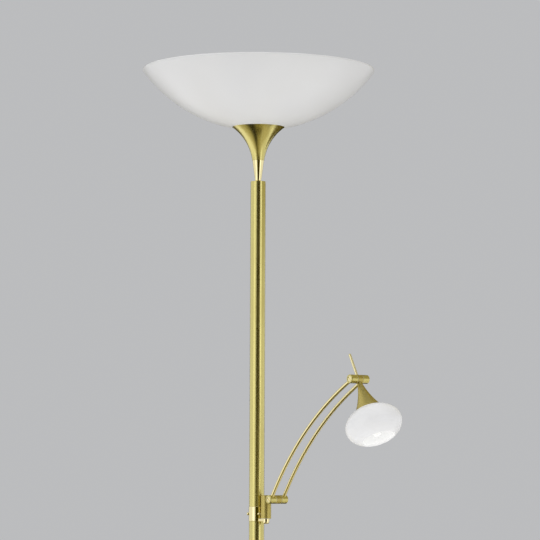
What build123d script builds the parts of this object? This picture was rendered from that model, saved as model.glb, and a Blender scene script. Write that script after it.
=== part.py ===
"""Torchiere floor lamp with a reading light, as separate pieces in real millimetres.

Frame: +Z up, origin at the centre of the base where it stands on the floor.
+X points from the pole towards the reading arm, so the arm and the reading head lie in the XZ plane
and both of their hinges turn about Y. The near side of a hinge is at -Y, the far side at +Y.
"""

import math
import os

from build123d import *

# ---------------------------------------------------------------- driving dimensions (mm)
# fits shared by several pieces
FIT = 0.2                # loose fit between stacked parts
TUBE_FIT = 0.05          # spigot in a tube
RUNNING = 0.06           # radial clearance of a shaft or button that moves
SLIP = 0.05              # gap between flat faces that turn on each other
THREAD_R = 5.0           # threaded tubes in the base and under the bowl
THREAD_BORE_R = 3.5
NUT_ACROSS = 17.0        # hexagon nuts on the threaded tubes
NUT_H = 5.5
LEAD_R = 2.2             # inner cables
LEAD_BEND_R = 5.06       # where the supply cable turns up into the pole
# base
BASE_R = 140.0
FELT_T = 3.0
FELT_INSET = 2.5
COVER_T = 1.2
COVER_GAP = 1.5          # cover's lower edge above the floor
COVER_WALL_TOP = 24.0    # where the upright wall would meet the sloping top
COVER_SHOULDER_R = 9.0
COVER_TOP = 32.0         # height of the cover at the pole
WEIGHT_TOP = 19.0
WEIGHT_CHAMFER = 7.0
BOSS_R = 22.0
NUT_POCKET_R = 17.0
NUT_POCKET_ROOF = 17.0
CORD_Z = 8.5             # height of the cord inlet
CORD_R = 3.5             # hole for the mains cord
BUSHING_R = 5.0
BUSHING_FLANGE_R = 6.5
BUSHING_FLANGE_T = 1.5
BUSHING_LENGTH = 12.0
GROOVE_W = 12.0
GROOVE_ROOF = 14.5
TERMINAL_X = -52.0       # middle of the terminal block
TERMINAL_L = 24.0
TERMINAL_W = 18.0
POCKET_GAP = 2.0         # room around the terminal block
# pole
POLE_R = 12.5
POLE_T = 1.2
ROSETTE_R = 20.0
ROSETTE_H = 10.0
ROSETTE_RIM = 2.0        # upright edge, and the floor that the tube stands on
ROSETTE_LIP = 1.3
SPIGOT = 18.0            # length of a coupling inside a tube
JOINT_Z = 545.0          # middle of the ring between the lower and middle tubes
JOINT_H = 2.0
JOINT_PROUD = 0.3
WIRE_WAY_R = 4.5
POLE_TOP = 1616.8
CAP_PLUG = 12.0
# switch collar and its push buttons
COLLAR_Z = 1064.4
COLLAR_H = 24.0
COLLAR_R = 13.0
COLLAR_EDGE = 0.5
COLLAR_BORE_R = 9.0
BUTTON_R = 2.5
BUTTON_PROUD = 3.4
BUTTON_TRAVEL = 1.0
BUTTON_FLANGE = 0.8      # how much wider the flange behind the collar's wall is
BUTTON_FLANGE_T = 1.0
READING_BUTTON_TURN = -22.5      # degrees from +X about Z
TORCHIERE_BUTTON_TURN = -130.0
MODULE_END = 4.0         # thickness of the dimmer's end discs
# torchiere head
CONE_H = 35.3
CONE_FOOT_R = 4.9
CONE_TOP_R = 9.7
CONE_SPIGOT_R = 4.0
CONE_SPIGOT_L = 11.0
CONE_THREAD_L = 10.0
CUP_FOOT_R = 10.0
CUP_WAIST_R = 23.2       # a point on the flare, about two thirds of the way up
CUP_WAIST_H = 34.9
CUP_RIM_R = 43.4
CUP_H = 56.0
CUP_T = 1.2
CUP_FLOOR = 1.5
BOWL_SPHERE_R = 240.0
BOWL_RIM_R = 193.5
BOWL_T = 4.5
BOWL_HOLE_R = 6.0
DISC_R = 28.0            # discs and gaskets that clamp the glass
DISC_T = 2.0
GASKET_T = 2.5           # thinnest part of the gasket under the glass
UPPER_GASKET_T = 4.0
SEAT_POST_R = 8.0
BRACKET_W = 22.0
BRACKET_HALF = 68.0
BRACKET_T = 2.0
BRACKET_EAR = 24.0
TUBE_PROUD = 6.0         # bowl tube above the lamp bracket
LAMP_RISE = 16.0         # lamp's axis above the bracket's underside
LAMP_HALF = 58.8
LAMP_R = 5.0
LAMP_END_R = 4.0
LAMP_END_L = 12.8
SOCKET_W = 16.0
SOCKET_D = 12.0
SOCKET_H = 18.0
PANE_RISE = 26.0         # guard pane above the bracket's underside
PANE_T = 3.0
PANE_HALF_W = 36.0
PANE_HALF_L = 50.0
TROUGH_T = 0.8
TROUGH_FLOOR = 13.0      # half width of the reflector's flat floor
TROUGH_FLANGE = 2.4
CLIP_W = 12.0
CLIP_T = 1.0
CLIP_GRIP = 3.0
# swivel bracket and post
POST_X = 24.0            # swivel axis from the pole's axis
POST_R = 8.5
POST_H = 38.3
POST_FLOOR = 21.0
POST_CAVITY_R = 6.2
POST_CAP_T = 1.8
POST_CAP_PLUG = 0.6
BOSS_END_R = 5.4
BOSS_DROP = 4.1          # boss below the collar's lower edge
BOSS_ROUND = 2.5
TAB_W = 12.0
TAB_H = 4.0
TAB_TONGUE = 2.5         # how far the tab is let into the collar
SPINDLE_R = 4.0
SPINDLE_THREAD = 6.0
SPINDLE_HEAD_R = 5.7
SPINDLE_HEAD_T = 4.0
SPINDLE_HEX = 4.0
SWIVEL_WASHER_T = 0.45
# hinge cylinders at both ends of the arm
HINGE_R = 7.0
KNUCKLE_HALF = 5.5
HINGE_WASHER_T = 0.5
AXLE_R = 2.5
AXLE_HEAD_R = 4.5
AXLE_HEAD_T = 2.8
AXLE_RECESS = 3.2
BARREL_WALL = 0.15       # between a rod and the recess for the axle's head
AXLE_NUT_T = 2.4
SLOT_W = 1.0
SLOT_DEPTH = 1.0
SLOT_TURN = 40.0
BARREL_EDGE = 0.6
LUG_REACH = 28.0         # lower hinge axis from the swivel axis
LUG_DROP = 6.8           # lower hinge axis below the post's top
LUG_NECK_R = 4.0
# arm
ARM_REACH = 199.1        # upper hinge from the lower one, at rest
ARM_RISE = 192.1
ROD_R = 2.8
ROD_BORE_R = 1.9
ROD_PITCH = 25.2
ROD_ARC_R = 503.0
ROD_GAP = 1.1            # from a rod's end to the axle
ARM_LEAD_R = 1.3
# reading head, along its own axis from the upper hinge
HEAD_TILT = 27.0         # degrees from straight down, away from the pole
HANDLE_R = 2.0
HANDLE_END = 46.0
SEAT_DEPTH = 4.5         # from the hinge axis to the seats of the handle and the head tube
HEAD_TUBE_R = 3.0
HEAD_BORE_R = 1.6
HEAD_CUP_WAIST_R = 11.1
HEAD_CUP_WAIST = 33.0
HEAD_CUP_RIM_R = 21.6
HEAD_CUP_RIM = 54.2
HEAD_CUP_T = 0.7
SHADE_CENTRE = 81.7
SHADE_R = 46.2
SHADE_HALF_H = 31.1
SHADE_T = 3.0
SHADE_HOLE_R = 8.0
SHADE_MOUTH_R = 26.5
HEAD_GASKET_T = 1.2
SHADE_DROOP = 1.0        # how far the curved glass falls away under the nut
HEAD_NUT_R = 12.0
HEAD_NUT_T = 1.5
HEAD_HEX = 11.0
HEAD_HEX_H = 4.0
HEAD_SOCKET_R = 9.0
HEAD_SOCKET_H = 16.0
HEAD_THREAD = 2.0        # head tube screwed into the socket
CAPSULE_R = 6.5
CAPSULE_L = 25.0
PINCH_H = 6.0
PIN_R = 0.6
PIN_HALF_PITCH = 4.5
PIN_L = 4.0

# ---------------------------------------------------------------- places that follow from them
POLE_BORE_R = POLE_R - POLE_T
SPIGOT_R = POLE_BORE_R - TUBE_FIT
POLE_FOOT = COVER_TOP + ROSETTE_RIM
LEAD_Z = FELT_T + LEAD_R + FIT
COLLAR_BOTTOM = COLLAR_Z - COLLAR_H / 2
COLLAR_TOP = COLLAR_Z + COLLAR_H / 2
MODULE_BOTTOM = COLLAR_BOTTOM - MODULE_END / 2
MODULE_TOP = COLLAR_TOP + MODULE_END / 2
BUTTON_FLANGE_X = math.sqrt(COLLAR_BORE_R**2 - (BUTTON_R + BUTTON_FLANGE) ** 2) - FIT
MODULE_R = BUTTON_FLANGE_X - BUTTON_FLANGE_T - BUTTON_TRAVEL - FIT
CUP_FOOT = POLE_TOP + CONE_H
CUP_RIM = CUP_FOOT + CUP_H
BOWL_CENTRE = CUP_RIM + math.sqrt(BOWL_SPHERE_R**2 - CUP_RIM_R**2)
BOWL_MID_R = BOWL_SPHERE_R - BOWL_T / 2
BOWL_RIM = BOWL_CENTRE - math.sqrt(BOWL_MID_R**2 - (BOWL_RIM_R - BOWL_T / 2) ** 2) + BOWL_T / 2
BOWL_BOTTOM = BOWL_CENTRE - BOWL_SPHERE_R
BOWL_FLOOR = BOWL_BOTTOM + BOWL_T
SEAT_TOP = BOWL_BOTTOM - GASKET_T
DISC_Z = BOWL_FLOOR + UPPER_GASKET_T
BRACKET_Z = DISC_Z + DISC_T + 2 * NUT_H
BRACKET_TOP = BRACKET_Z + BRACKET_T
LAMP_Z = BRACKET_Z + LAMP_RISE
PANE_Z = BRACKET_Z + PANE_RISE
TUBE_TOP = BRACKET_TOP + TUBE_PROUD
TAB_TOP = COLLAR_BOTTOM + TAB_H
POST_BOTTOM = TAB_TOP + SWIVEL_WASHER_T + SLIP
POST_TOP = POST_BOTTOM + POST_H
LOWER_HINGE = (POST_X + LUG_REACH, POST_TOP - LUG_DROP)
UPPER_HINGE = (LOWER_HINGE[0] + ARM_REACH, LOWER_HINGE[1] + ARM_RISE)
BARREL_START = KNUCKLE_HALF + HINGE_WASHER_T + SLIP
AXLE_SEAT = ROD_PITCH / 2 + ROD_R + BARREL_WALL
HINGE_HALF = AXLE_SEAT + AXLE_RECESS
SHADE_TOP = SHADE_CENTRE - SHADE_HALF_H
HEAD_NUT = SHADE_TOP + SHADE_T + HEAD_GASKET_T + SHADE_DROOP
HEAD_HEX_Z = HEAD_NUT + HEAD_NUT_T
HEAD_SOCKET = HEAD_HEX_Z + HEAD_HEX_H
HEAD_SOCKET_END = HEAD_SOCKET + HEAD_SOCKET_H
MIDDLE = (Align.CENTER, Align.CENTER, Align.CENTER)
UP = (Align.CENTER, Align.CENTER, Align.MIN)
CUT = 1.0                # how far a cutting solid runs past the face it cuts

nodes = {}


# ---------------------------------------------------------------- shapes used by every section
def rod_z(radius, low, high):
    """Upright cylinder on the Z axis."""
    return Pos(0, 0, low) * Cylinder(radius, high - low, align=UP)


def ring_z(outer, inner, low, high):
    return rod_z(outer, low, high) - rod_z(inner, low - CUT, high + CUT)


def rod_x(radius, low, high):
    """Cylinder on the X axis."""
    return Pos((low + high) / 2, 0, 0) * Rot(0, 90, 0) * Cylinder(radius, high - low, align=MIDDLE)


def rod_y(radius, start, end):
    """Cylinder on the Y axis, between two places given in either order."""
    return Pos(0, (start + end) / 2, 0) * Rot(90, 0, 0) * Cylinder(radius, abs(end - start), align=MIDDLE)


def block(x, y, z):
    """Box between pairs of coordinates, each pair in either order."""
    centre = [(a + b) / 2 for a, b in (x, y, z)]
    return Pos(*centre) * Box(*[abs(b - a) for a, b in (x, y, z)], align=MIDDLE)


def turned(*edges):
    """Solid of revolution about Z from edges that close a loop in the XZ plane."""
    return revolve(Face(Wire(edges)), Axis.Z, 360)


def line(a, b):
    return Line((a[0], 0, a[1]), (b[0], 0, b[1]))


def arc(a, b, c):
    return ThreePointArc((a[0], 0, a[1]), (b[0], 0, b[1]), (c[0], 0, c[1]))


def polygon(*points):
    """Solid of revolution about Z from the corners of its section."""
    return turned(*[line(a, b) for a, b in zip(points, points[1:] + points[:1])])


def hexagon(across, low, high):
    return Pos(0, 0, low) * extrude(RegularPolygon(across / math.sqrt(3), 6), high - low)


def circle_centre(a, b, c):
    """Centre of the circle through three points."""
    (ax, az), (bx, bz), (cx, cz) = a, b, c
    d = 2 * (ax * (bz - cz) + bx * (cz - az) + cx * (az - bz))
    a2, b2, c2 = ax**2 + az**2, bx**2 + bz**2, cx**2 + cz**2
    x = (a2 * (bz - cz) + b2 * (cz - az) + c2 * (az - bz)) / d
    z = (a2 * (cx - bx) + b2 * (ax - cx) + c2 * (bx - ax)) / d
    return x, z


def horn(foot, waist, rim, wall):
    """Trumpet-shaped solid whose flare is moved inwards by wall, away from the flare's centre."""
    cx, cz = circle_centre(foot, waist, rim)
    moved = []
    for x, z in (foot, waist, rim):
        reach = math.hypot(x - cx, z - cz)
        moved.append((x + (x - cx) / reach * wall, z + (z - cz) / reach * wall))
    low, middle, high = moved
    return turned(
        line((0, low[1]), low),
        arc(low, middle, high),
        line(high, (0, high[1])),
        line((0, high[1]), (0, low[1])),
    )


# ---------------------------------------------------------------- base
def cover_form(inset):
    """Solid under the base cover's skin, inset by a wall thickness."""
    r = BASE_R - inset
    wall_top = COVER_WALL_TOP - inset
    top = COVER_TOP - inset
    slope = math.atan2(COVER_TOP - COVER_WALL_TOP, BASE_R - BOSS_R)
    corner_turn = math.pi / 2 - slope
    radius = COVER_SHOULDER_R - inset
    back = radius * math.tan(corner_turn / 2)
    wall_end = (r, wall_top - back)
    top_start = (r - back * math.cos(slope), wall_top + back * math.sin(slope))
    centre = (r - radius, wall_top - back)
    half = corner_turn / 2
    crown = (centre[0] + radius * math.cos(half), centre[1] + radius * math.sin(half))
    return turned(
        line((0, COVER_GAP), (r, COVER_GAP)),
        line((r, COVER_GAP), wall_end),
        arc(wall_end, crown, top_start),
        line(top_start, (BOSS_R, top)),
        line((BOSS_R, top), (0, top)),
        line((0, top), (0, COVER_GAP)),
    )


def tube_nut(low):
    """Hexagon nut with its underside at the given height."""
    return hexagon(NUT_ACROSS, low, low + NUT_H) - rod_z(THREAD_R, low - CUT, low + NUT_H + CUT)


def base():
    inlet_axis = Pos(0, 0, CORD_Z)
    shank = inlet_axis * rod_x(BUSHING_R, -BASE_R - CUT, -BASE_R + BUSHING_LENGTH)
    cavity = cover_form(COVER_T) + rod_z(BASE_R - COVER_T, COVER_GAP - CUT, COVER_GAP + CUT)
    cover = cover_form(0) - cavity - rod_z(THREAD_R + FIT, COVER_GAP, COVER_TOP + CUT)
    nodes["base_cover"] = cover - shank

    flange = inlet_axis * rod_x(BUSHING_FLANGE_R, -BASE_R - BUSHING_FLANGE_T, -BASE_R + COVER_T / 2)
    hole = inlet_axis * rod_x(CORD_R, -BASE_R - BUSHING_LENGTH, -BASE_R + BUSHING_LENGTH + CUT)
    nodes["cord_bushing"] = (flange - cover) + shank - hole

    weight_r = BASE_R - COVER_T - FIT
    weight = rod_z(weight_r, FELT_T, WEIGHT_TOP)
    weight = chamfer(weight.edges().filter_by(GeomType.CIRCLE).sort_by(Axis.Z)[-1], WEIGHT_CHAMFER)
    weight += rod_z(BOSS_R - COVER_T, WEIGHT_TOP - CUT, COVER_TOP - COVER_T)
    weight -= rod_z(THREAD_R + FIT, 0, COVER_TOP)
    weight -= rod_z(NUT_POCKET_R, 0, NUT_POCKET_ROOF)
    weight -= block((-BASE_R, 0), (-GROOVE_W / 2, GROOVE_W / 2), (0, GROOVE_ROOF))
    pocket_half_l = TERMINAL_L / 2 + POCKET_GAP
    pocket_half_w = TERMINAL_W / 2 + POCKET_GAP
    pocket_x = (TERMINAL_X - pocket_half_l, TERMINAL_X + pocket_half_l)
    nodes["base_weight"] = weight - block(pocket_x, (-pocket_half_w, pocket_half_w), (0, GROOVE_ROOF))
    nodes["base_felt"] = rod_z(weight_r - FELT_INSET, 0, FELT_T)

    ends = (TERMINAL_X - TERMINAL_L / 2, TERMINAL_X + TERMINAL_L / 2)
    terminal = block(ends, (-TERMINAL_W / 2, TERMINAL_W / 2), (FELT_T + FIT, GROOVE_ROOF))
    for y in (-TERMINAL_W / 4, TERMINAL_W / 4):
        screw_well = Pos(TERMINAL_X, y, 0) * rod_z(TERMINAL_W / 8, 0, FELT_T + TERMINAL_W / 4)
        terminal -= screw_well
    nodes["terminal_block"] = terminal

    nipple_foot = NUT_POCKET_ROOF - NUT_H - CUT
    nodes["base_nipple"] = ring_z(THREAD_R, THREAD_BORE_R, nipple_foot, POLE_FOOT + SPIGOT)
    return ends[1]


# ---------------------------------------------------------------- pole
def tube_section(low, high):
    return ring_z(POLE_R, POLE_BORE_R, low, high)


def coupling(radius, low, high, bore):
    """Ring between two tubes, with a spigot into each."""
    ring = rod_z(radius, low, high) + rod_z(SPIGOT_R, low - SPIGOT, high + SPIGOT)
    return ring - rod_z(bore, low - SPIGOT - CUT, high + SPIGOT + CUT)


def pole(lead_start):
    lip = POLE_R + ROSETTE_LIP
    rim_top = (ROSETTE_R, COVER_TOP + ROSETTE_RIM)
    lip_top = (lip, COVER_TOP + ROSETTE_H)
    hollow = ((ROSETTE_R + 2 * lip) / 3, COVER_TOP + ROSETTE_RIM + (ROSETTE_H - ROSETTE_RIM) / 3)
    rosette = turned(
        line((0, COVER_TOP), (ROSETTE_R, COVER_TOP)),
        line((ROSETTE_R, COVER_TOP), rim_top),
        arc(rim_top, hollow, lip_top),
        line(lip_top, (0, lip_top[1])),
        line((0, lip_top[1]), (0, COVER_TOP)),
    )
    rosette -= ring_z(POLE_R + TUBE_FIT, SPIGOT_R, POLE_FOOT, COVER_TOP + ROSETTE_H + CUT)
    rosette += rod_z(SPIGOT_R, POLE_FOOT, POLE_FOOT + SPIGOT)
    nodes["foot_rosette"] = rosette - rod_z(THREAD_R, COVER_TOP - CUT, POLE_FOOT + SPIGOT + CUT)

    joint_bottom = JOINT_Z - JOINT_H / 2
    joint_top = JOINT_Z + JOINT_H / 2
    nodes["pole_lower"] = tube_section(POLE_FOOT, joint_bottom)
    nodes["pole_joint"] = coupling(POLE_R + JOINT_PROUD, joint_bottom, joint_top, WIRE_WAY_R)
    nodes["pole_middle"] = tube_section(joint_top, COLLAR_BOTTOM)
    nodes["pole_upper"] = tube_section(COLLAR_TOP, POLE_TOP)
    nodes["pole_cap"] = ring_z(SPIGOT_R, CONE_SPIGOT_R, POLE_TOP - CAP_PLUG, POLE_TOP)

    bend = FilletPolyline((lead_start, 0, LEAD_Z), (0, 0, LEAD_Z), (0, 0, MODULE_BOTTOM), radius=LEAD_BEND_R)
    section = Plane(origin=bend @ 0, z_dir=bend % 0) * Circle(LEAD_R)
    nodes["supply_lead"] = sweep(section, path=bend)
    nodes["torchiere_lead"] = rod_z(LEAD_R, MODULE_TOP, TUBE_TOP)


def switch_collar():
    collar = coupling(COLLAR_R, COLLAR_BOTTOM, COLLAR_TOP, COLLAR_BORE_R)
    rims = collar.edges().filter_by(GeomType.CIRCLE).filter_by(lambda e: abs(e.radius - COLLAR_R) < 0.01)
    collar = fillet(rims, COLLAR_EDGE)
    collar -= block((0, COLLAR_R + CUT), (-TAB_W / 2, TAB_W / 2), (COLLAR_BOTTOM - CUT, TAB_TOP)) - rod_z(
        COLLAR_R - TAB_TONGUE, COLLAR_BOTTOM - 2 * CUT, COLLAR_TOP
    )
    height = Pos(0, 0, COLLAR_Z)
    flange_end = BUTTON_FLANGE_X - BUTTON_FLANGE_T
    dome = COLLAR_R + BUTTON_PROUD - BUTTON_R
    button = rod_x(BUTTON_R, flange_end, dome) + Pos(dome, 0, 0) * Sphere(BUTTON_R)
    button += rod_x(BUTTON_R + BUTTON_FLANGE, flange_end, BUTTON_FLANGE_X)
    hole = rod_x(BUTTON_R + RUNNING, 0, COLLAR_R + CUT)
    for name, turn in (("reading_button", READING_BUTTON_TURN), ("torchiere_button", TORCHIERE_BUTTON_TURN)):
        collar -= height * hole.rotate(Axis.Z, turn)
        nodes[name] = height * button.rotate(Axis.Z, turn)
    nodes["switch_collar"] = collar

    module = rod_z(MODULE_R, MODULE_BOTTOM, MODULE_TOP)
    module += rod_z(COLLAR_BORE_R - TUBE_FIT, MODULE_BOTTOM, MODULE_BOTTOM + MODULE_END)
    nodes["dimmer_module"] = module + rod_z(COLLAR_BORE_R - TUBE_FIT, MODULE_TOP - MODULE_END, MODULE_TOP)


# ---------------------------------------------------------------- torchiere cup and bowl
def bowl_ball(inset):
    return Pos(0, 0, BOWL_CENTRE) * Sphere(BOWL_SPHERE_R - inset)


def bowl_arc(radius):
    """Start, middle and end of the bowl's section, from its hole to its rim, on one of its spheres."""
    rim_turn = math.atan2(BOWL_RIM_R - BOWL_T / 2, BOWL_CENTRE - BOWL_RIM + BOWL_T / 2)
    hole_turn = math.asin(BOWL_HOLE_R / radius)
    turns = (hole_turn, (hole_turn + rim_turn) / 2, rim_turn)
    return [(radius * math.sin(turn), BOWL_CENTRE - radius * math.cos(turn)) for turn in turns]


def bowl():
    cone = polygon((0, POLE_TOP), (CONE_FOOT_R, POLE_TOP), (CONE_TOP_R, CUP_FOOT), (0, CUP_FOOT))
    cone += rod_z(CONE_SPIGOT_R, POLE_TOP - CONE_SPIGOT_L, POLE_TOP + CUT)
    cone -= rod_z(LEAD_R + FIT, POLE_TOP - CAP_PLUG, CUP_FOOT + CUT)
    tube_foot = CUP_FOOT - CONE_THREAD_L
    nodes["stem_cone"] = cone - rod_z(THREAD_R, tube_foot, CUP_FOOT + CUT)

    flare = ((CUP_FOOT_R, CUP_FOOT), (CUP_WAIST_R, CUP_FOOT + CUP_WAIST_H), (CUP_RIM_R, CUP_RIM))
    hollow = horn(*flare, CUP_T) - rod_z(CUP_RIM_R, CUP_FOOT - CUT, CUP_FOOT + CUP_FLOOR)
    cup = horn(*flare, 0) - hollow - bowl_ball(0)
    nodes["bowl_cup"] = cup - rod_z(THREAD_R, CUP_FOOT - CUT, CUP_FOOT + CUP_FLOOR + CUT)

    seat = ring_z(SEAT_POST_R, THREAD_R, CUP_FOOT + CUP_FLOOR, SEAT_TOP)
    nodes["bowl_seat"] = seat + ring_z(DISC_R, THREAD_R, SEAT_TOP - DISC_T, SEAT_TOP)
    lower_gasket = ring_z(DISC_R, BOWL_HOLE_R, SEAT_TOP, BOWL_FLOOR) - bowl_ball(0)
    upper_gasket = ring_z(DISC_R, BOWL_HOLE_R, BOWL_BOTTOM, DISC_Z) & bowl_ball(BOWL_T)
    nodes["bowl_gaskets"] = Compound([lower_gasket, upper_gasket])

    outer = bowl_arc(BOWL_SPHERE_R)
    inner = bowl_arc(BOWL_SPHERE_R - BOWL_T)
    rim = (BOWL_RIM_R - BOWL_T / 2, BOWL_RIM - BOWL_T / 2)
    turn = math.atan2(rim[0], BOWL_CENTRE - rim[1])
    rim_crest = (rim[0] + BOWL_T / 2 * math.cos(turn), rim[1] + BOWL_T / 2 * math.sin(turn))
    nodes["bowl_glass"] = turned(
        arc(*outer),
        arc(outer[-1], rim_crest, inner[-1]),
        arc(*reversed(inner)),
        line(inner[0], outer[0]),
    )

    nodes["bowl_disc"] = ring_z(DISC_R, THREAD_R, DISC_Z, DISC_Z + DISC_T)
    nodes["bowl_tube"] = ring_z(THREAD_R, THREAD_BORE_R, tube_foot, TUBE_TOP)
    nut_heights = (NUT_POCKET_ROOF - NUT_H, DISC_Z + DISC_T, DISC_Z + DISC_T + NUT_H, BRACKET_TOP)
    nodes["tube_nuts"] = Compound([tube_nut(low) for low in nut_heights])


# ---------------------------------------------------------------- lamp unit in the bowl
def lamp_unit():
    half_w = BRACKET_W / 2
    bracket = block((-half_w, half_w), (-BRACKET_HALF, BRACKET_HALF), (BRACKET_Z, BRACKET_TOP))
    axis = Pos(0, 0, LAMP_Z)
    ear_face = BRACKET_HALF - BRACKET_T
    sockets, ends = [], []
    for side in (-1, 1):
        ear = (side * ear_face, side * BRACKET_HALF)
        bracket += block((-half_w, half_w), ear, (BRACKET_Z, BRACKET_Z + BRACKET_EAR))
        depth = (side * (ear_face - SOCKET_D), side * ear_face)
        socket = axis * block((-SOCKET_W / 2, SOCKET_W / 2), depth, (-SOCKET_H / 2, SOCKET_H / 2))
        well = axis * rod_y(LAMP_END_R + 2 * FIT, 0, side * (LAMP_HALF + FIT))
        sockets.append(socket - well)
        ends.append(axis * rod_y(LAMP_END_R, side * (LAMP_HALF - LAMP_END_L), side * LAMP_HALF))
    nodes["lamp_bracket"] = bracket - rod_z(THREAD_R, BRACKET_Z - CUT, BRACKET_TOP + CUT)
    nodes["lamp_sockets"] = Compound(sockets)
    nodes["lamp_ends"] = Compound(ends)
    glass_end = LAMP_HALF - LAMP_END_L
    nodes["halogen_tube"] = axis * rod_y(LAMP_R, -glass_end, glass_end)

    rim = PANE_Z - TROUGH_T
    wall_top = PANE_HALF_W - TROUGH_FLANGE
    right = [(TROUGH_FLOOR, BRACKET_TOP), (wall_top, rim), (PANE_HALF_W, rim)]
    lower_face = [(-x, z) for x, z in reversed(right)] + right
    upper_face = [(x, z + TROUGH_T) for x, z in reversed(lower_face)]
    section = make_face(Polyline(*[(x, 0, z) for x, z in lower_face + upper_face], close=True))
    reflector = Pos(0, PANE_HALF_L, 0) * extrude(section, 2 * PANE_HALF_L, dir=(0, -1, 0))
    nut_hole = rod_z(NUT_ACROSS / math.sqrt(3) + FIT, BRACKET_TOP - CUT, BRACKET_TOP + TROUGH_T + CUT)
    nodes["reflector"] = reflector - nut_hole

    pane_top = PANE_Z + PANE_T
    half_l = (-PANE_HALF_L, PANE_HALF_L)
    nodes["guard_pane"] = block((-PANE_HALF_W, PANE_HALF_W), half_l, (PANE_Z, pane_top))
    clips = []
    for side in (-1, 1):
        reach = (side * (PANE_HALF_W + FIT - CLIP_GRIP), side * (PANE_HALF_W + CLIP_T))
        clip = block(reach, (-CLIP_W / 2, CLIP_W / 2), (rim - CLIP_T, pane_top + CLIP_T))
        grip = block((0, side * PANE_HALF_W), (-CLIP_W, CLIP_W), (rim, pane_top))
        under = block((0, side * (wall_top + FIT)), (-CLIP_W, CLIP_W), (rim - 2 * CLIP_T, rim))
        clips.append(clip - grip - under)
    nodes["guard_clips"] = Compound(clips)


# ---------------------------------------------------------------- swivel bracket and post
def swivel():
    tab = rod_z(TAB_W / 2, COLLAR_BOTTOM, TAB_TOP)
    tab += block((-POST_X, 0), (-TAB_W / 2, TAB_W / 2), (COLLAR_BOTTOM, TAB_TOP))
    boss_bottom = COLLAR_BOTTOM - BOSS_DROP
    boss = rod_z(BOSS_END_R, boss_bottom, TAB_TOP)
    boss = fillet(boss.edges().filter_by(GeomType.CIRCLE).sort_by(Axis.Z)[0], BOSS_ROUND)
    spindle_foot = TAB_TOP - SPINDLE_THREAD
    place = Pos(POST_X, 0, 0)
    bracket = place * (tab + boss - rod_z(SPINDLE_R, spindle_foot, TAB_TOP + CUT))
    nodes["swivel_bracket"] = bracket - rod_z(COLLAR_R - TAB_TONGUE, boss_bottom, TAB_TOP + CUT)

    floor_top = POST_BOTTOM + POST_FLOOR
    head = floor_top + SLIP
    spindle = rod_z(SPINDLE_R, spindle_foot, head) + rod_z(SPINDLE_HEAD_R, head, head + SPINDLE_HEAD_T)
    spindle -= hexagon(SPINDLE_HEX, head + SPINDLE_HEAD_T / 2, head + SPINDLE_HEAD_T + CUT)
    nodes["swivel_spindle"] = place * spindle
    washer = ring_z(POST_R - FIT, SPINDLE_R + RUNNING, TAB_TOP, TAB_TOP + SWIVEL_WASHER_T)
    nodes["swivel_washer"] = place * washer

    cap_bottom = POST_TOP - POST_CAP_T
    post = rod_z(POST_R, POST_BOTTOM, cap_bottom)
    post -= rod_z(SPINDLE_R + RUNNING, POST_BOTTOM - CUT, floor_top)
    post -= rod_z(POST_CAVITY_R, floor_top, POST_TOP)
    neck_start = (POST_R + POST_CAVITY_R) / 2 - LUG_REACH
    neck = rod_x(LUG_NECK_R, neck_start - POST_R, 0)
    nodes["swivel_post"] = place * (post - Pos(LUG_REACH, 0, LOWER_HINGE[1]) * neck)
    cap = rod_z(POST_R, cap_bottom, POST_TOP)
    cap = chamfer(cap.edges().filter_by(GeomType.CIRCLE).sort_by(Axis.Z)[-1], BARREL_EDGE)
    plug = rod_z(POST_CAVITY_R - TUBE_FIT, cap_bottom - POST_CAP_PLUG, cap_bottom + POST_CAP_PLUG)
    nodes["post_cap"] = place * (cap + plug)

    lug = knuckle() + (neck - rod_y(HINGE_R - CUT, -KNUCKLE_HALF, KNUCKLE_HALF))
    nodes["hinge_lug"] = Pos(LOWER_HINGE[0], 0, LOWER_HINGE[1]) * lug


def knuckle():
    """Middle piece of a hinge cylinder, which turns on the axle."""
    return rod_y(HINGE_R, -KNUCKLE_HALF, KNUCKLE_HALF) - rod_y(AXLE_R + RUNNING, -HINGE_HALF, HINGE_HALF)


# ---------------------------------------------------------------- arm
def curved_rod(y, radius, gap):
    """Round bar along the arc between the hinge axes, ending short of each axis by gap.

    The arc's centre lies on the outer side of the chord, so the rods bow towards the pole.
    """
    (x0, z0), (x1, z1) = LOWER_HINGE, UPPER_HINGE
    chord = math.hypot(ARM_REACH, ARM_RISE)
    depth = math.sqrt(ROD_ARC_R**2 - (chord / 2) ** 2)
    cx = (x0 + x1) / 2 + ARM_RISE / chord * depth
    cz = (z0 + z1) / 2 - ARM_REACH / chord * depth
    start = math.atan2(z0 - cz, x0 - cx) - gap / ROD_ARC_R
    stop = math.atan2(z1 - cz, x1 - cx) + gap / ROD_ARC_R
    foot = (cx + ROD_ARC_R * math.cos(start), y, cz + ROD_ARC_R * math.sin(start))
    section = Plane(origin=foot, z_dir=(math.sin(start), 0, -math.cos(start))) * Circle(radius)
    return revolve(section, Axis((cx, y, cz), (0, 1, 0)), math.degrees(start - stop))


def barrel(side):
    """End piece of a hinge cylinder, with a recess for the axle's head or nut."""
    solid = rod_y(HINGE_R, side * BARREL_START, side * HINGE_HALF)
    rims = solid.edges().filter_by(GeomType.CIRCLE).sort_by(Axis.Y)
    solid = chamfer(rims[-1] if side > 0 else rims[0], BARREL_EDGE)
    solid -= rod_y(AXLE_R, -2 * HINGE_HALF, 2 * HINGE_HALF)
    return solid - rod_y(AXLE_HEAD_R + FIT, side * AXLE_SEAT, side * (HINGE_HALF + CUT))


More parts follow.
